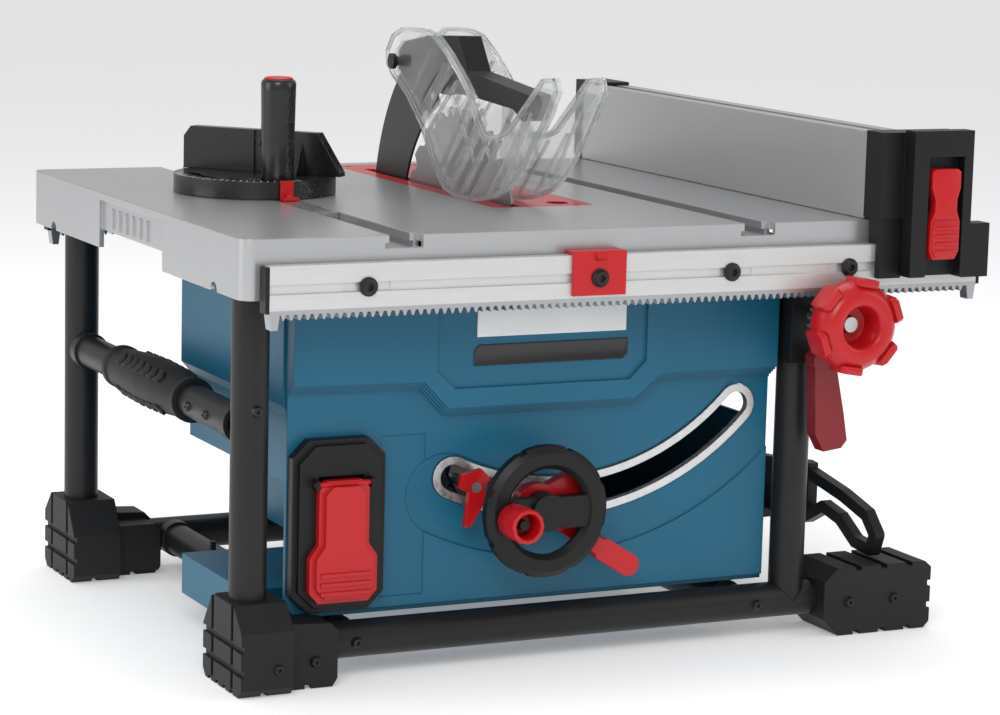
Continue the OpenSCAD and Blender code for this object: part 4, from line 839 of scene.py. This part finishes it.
@dataclass
class Guard(Assembly):
    """Clear guard: two plates with moulded rims and ribs, and their arm."""

    gap: float = 16.0
    thick: float = 4.0
    rim: float = 3.2
    proud: float = 2.6
    rib_w: float = 2.2
    rib_share: float = 0.8

    def __post_init__(self) -> None:
        """Name the finishes."""
        self.finishes = {"guard_arm": BLACK_PLASTIC, "guard_left": CLEAR,
                         "guard_right": CLEAR}

    def outline(self) -> Outline:
        """The plate's outline, as (y, height above the ground)."""
        points = [(352, 108), (340, 122), (322, 129), (299, 130), (276, 130), (256, 127),
                  (230, 114), (205, 98), (178, 77), (162, 58), (150, 55), (136, 57),
                  (120, 62), (96, 80), (62, 106), (44, 108), (38, 98), (50, 80), (66, 62),
                  (88, 38), (104, 25), (122, 14), (140, 8), (160, 3), (180, 0.6),
                  (212, 0.6), (232, 5), (247, 15), (262, 30), (279, 51), (310, 74),
                  (339, 88), (350, 96)]
        return [(y, z + TABLE_H) for y, z in points]

    def ribs(self) -> list[Outline]:
        """Outlines of the moulded ribs between the slots."""
        lines = [((222, 6), (166, 74)), ((202, 4), (148, 58)), ((182, 4), (132, 52)),
                 ((242, 18), (186, 84)), ((262, 52), (214, 92)), ((280, 66), (236, 106)),
                 ((300, 78), (262, 116)), ((150, 10), (100, 60)), ((126, 18), (80, 78)),
                 ((176, 30), (206, 62)), ((150, 38), (184, 76))]
        return [bar((a[0], a[1] + TABLE_H), (b[0], b[1] + TABLE_H), self.rib_w)
                for a, b in lines]

    def details(self) -> None:
        """Mould the rims and ribs on both plates."""
        sides = {"left": (-1, "guard_l"), "right": (1, "guard_r")}
        for side, (sign, body) in sides.items():
            inner = BLADE_X + sign * (self.gap + self.thick)
            outer = inner + sign * self.proud
            parts = [Bench.plate(strip, "YZ", inner, outer)
                     for strip in band(self.outline(), self.rim)]
            Bench.settle(Bench.weld(Bench.join(parts)), f"guard_rim_{side}", CLEAR_RIB, body)
            parts = [Bench.plate(rib, "YZ", inner, inner + sign * self.proud * self.rib_share)
                     for rib in self.ribs()]
            Bench.settle(Bench.join(parts), f"guard_ribs_{side}", CLEAR_RIB, body)


@dataclass
class Controls(Assembly):
    """Handwheel, crank handle, bevel pointer and lock."""

    crank_at: Point = (219.47, 3.6, 119.56)

    def __post_init__(self) -> None:
        """Name the finishes."""
        self.finishes = {"handwheel": BLACK_PLASTIC, "crank_handle": RED_PLASTIC,
                         "bevel_pointer": RED_PLASTIC, "bevel_lock": RED_PLASTIC}

    def details(self) -> None:
        """Replace the crank handle with its fluted cup."""
        cup = Bench.turned([(6.0, 0), (12.4, 0), (13.4, -2), (13.4, -26.4), (12.6, -28),
                            (10.6, -28), (9.9, -26.6), (9.2, -9), (4.4, -8.6), (4.4, -1)],
                           self.crank_at, "Y", 12)
        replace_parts(Bench.settle(cup, "crank_handle_cup", RED_PLASTIC, "crank", 0.5, 2, 20.0),
                    "crank_handle")


@dataclass(frozen=True)
class Lamp:
    """One soft panel light: place in metres, side in metres and power."""

    name: str
    at: Point
    size: float
    watts: float


LAMPS = (
    Lamp("key", (-1.3, -2.2, 2.0), 1.4, 34.0),
    Lamp("fill", (2.4, -1.6, 1.4), 1.6, 12.0),
    Lamp("top", (0.2, 0.6, 2.4), 1.6, 20.0),
    Lamp("left", (-2.4, 0.3, 1.0), 1.4, 14.0),
)


@dataclass
class Studio:
    """Floor, lights and camera."""

    eye: Point = (-793.0, -2038.5, 611.3)
    yaw_deg: float = 26.06
    down_deg: float = 9.205
    roll_deg: float = 1.49
    lens: float = 112.5
    aim: Point = (0.0, 0.0, 0.2)
    floor_side: float = 60.0
    floor_shade: float = 0.93
    floor_glow: float = 0.24
    sky: float = 0.56

    def camera(self) -> None:
        """Stand the camera where the view was taken from."""
        yaw, down = math.radians(self.yaw_deg), math.radians(self.down_deg)
        roll = math.radians(self.roll_deg)
        look = Vector((math.sin(yaw) * math.cos(down), math.cos(yaw) * math.cos(down),
                       -math.sin(down)))
        right = Vector((math.cos(yaw), -math.sin(yaw), 0.0))
        up = right.cross(look)
        turned_right = right * math.cos(roll) + up * math.sin(roll)
        turned_up = up * math.cos(roll) - right * math.sin(roll)
        data = bpy.data.cameras.new("view")
        data.lens = self.lens
        data.sensor_width = 36.0
        cam = bpy.data.objects.new("view", data)
        bpy.context.scene.collection.objects.link(cam)
        turn = Matrix((turned_right, turned_up, -look)).transposed().to_4x4()
        cam.matrix_world = Matrix.Translation(place(*self.eye)) @ turn
        bpy.context.scene.camera = cam

    def light(self, lamp: Lamp) -> None:
        """Hang one soft light that looks at the saw.

        Args:
            lamp: what the light is.
        """
        data = bpy.data.lights.new(lamp.name, "AREA")
        data.size = lamp.size
        data.energy = lamp.watts
        obj = bpy.data.objects.new(lamp.name, data)
        bpy.context.scene.collection.objects.link(obj)
        spot = Vector(lamp.at)
        aim = (Vector(self.aim) - spot).to_track_quat("-Z", "Y").to_matrix().to_4x4()
        obj.matrix_world = Matrix.Translation(spot) @ aim

    def floor(self) -> None:
        """Lay a plain pale floor."""
        Bench.clear_selection()
        bpy.ops.mesh.primitive_plane_add(size=self.floor_side, location=(0, 0, -0.0005))
        obj = bpy.context.object
        obj.name = "floor"
        mat = bpy.data.materials.new("floor_pale")
        mat.use_nodes = True
        shader = mat.node_tree.nodes["Principled BSDF"]
        shader.inputs["Base Color"].default_value = (*[self.floor_shade] * 3, 1.0)
        shader.inputs["Roughness"].default_value = 0.75
        shader.inputs["Emission Color"].default_value = (1.0, 1.0, 1.0, 1.0)
        shader.inputs["Emission Strength"].default_value = self.floor_glow
        obj.data.materials.append(mat)

    def build(self) -> None:
        """Set up floor, lights, sky and camera."""
        self.floor()
        for lamp in LAMPS:
            self.light(lamp)
        world = bpy.data.worlds.new("studio")
        world.use_nodes = True
        back = world.node_tree.nodes["Background"]
        back.inputs["Color"].default_value = (1.0, 1.0, 1.0, 1.0)
        back.inputs["Strength"].default_value = self.sky
        bpy.context.scene.world = world
        bpy.context.scene.view_settings.view_transform = "Standard"
        self.camera()


def main() -> None:
    """Build the saw's visual model and its studio."""
    logging.basicConfig(level=logging.INFO, format="%(name)s: %(message)s")
    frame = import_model()
    Studio().build()
    for group in (Stand, Table, Housing, Switch, Rails, Gauge, Drive, Guard, Controls):
        group(frame).build()


if __name__ == "__main__":
    main()
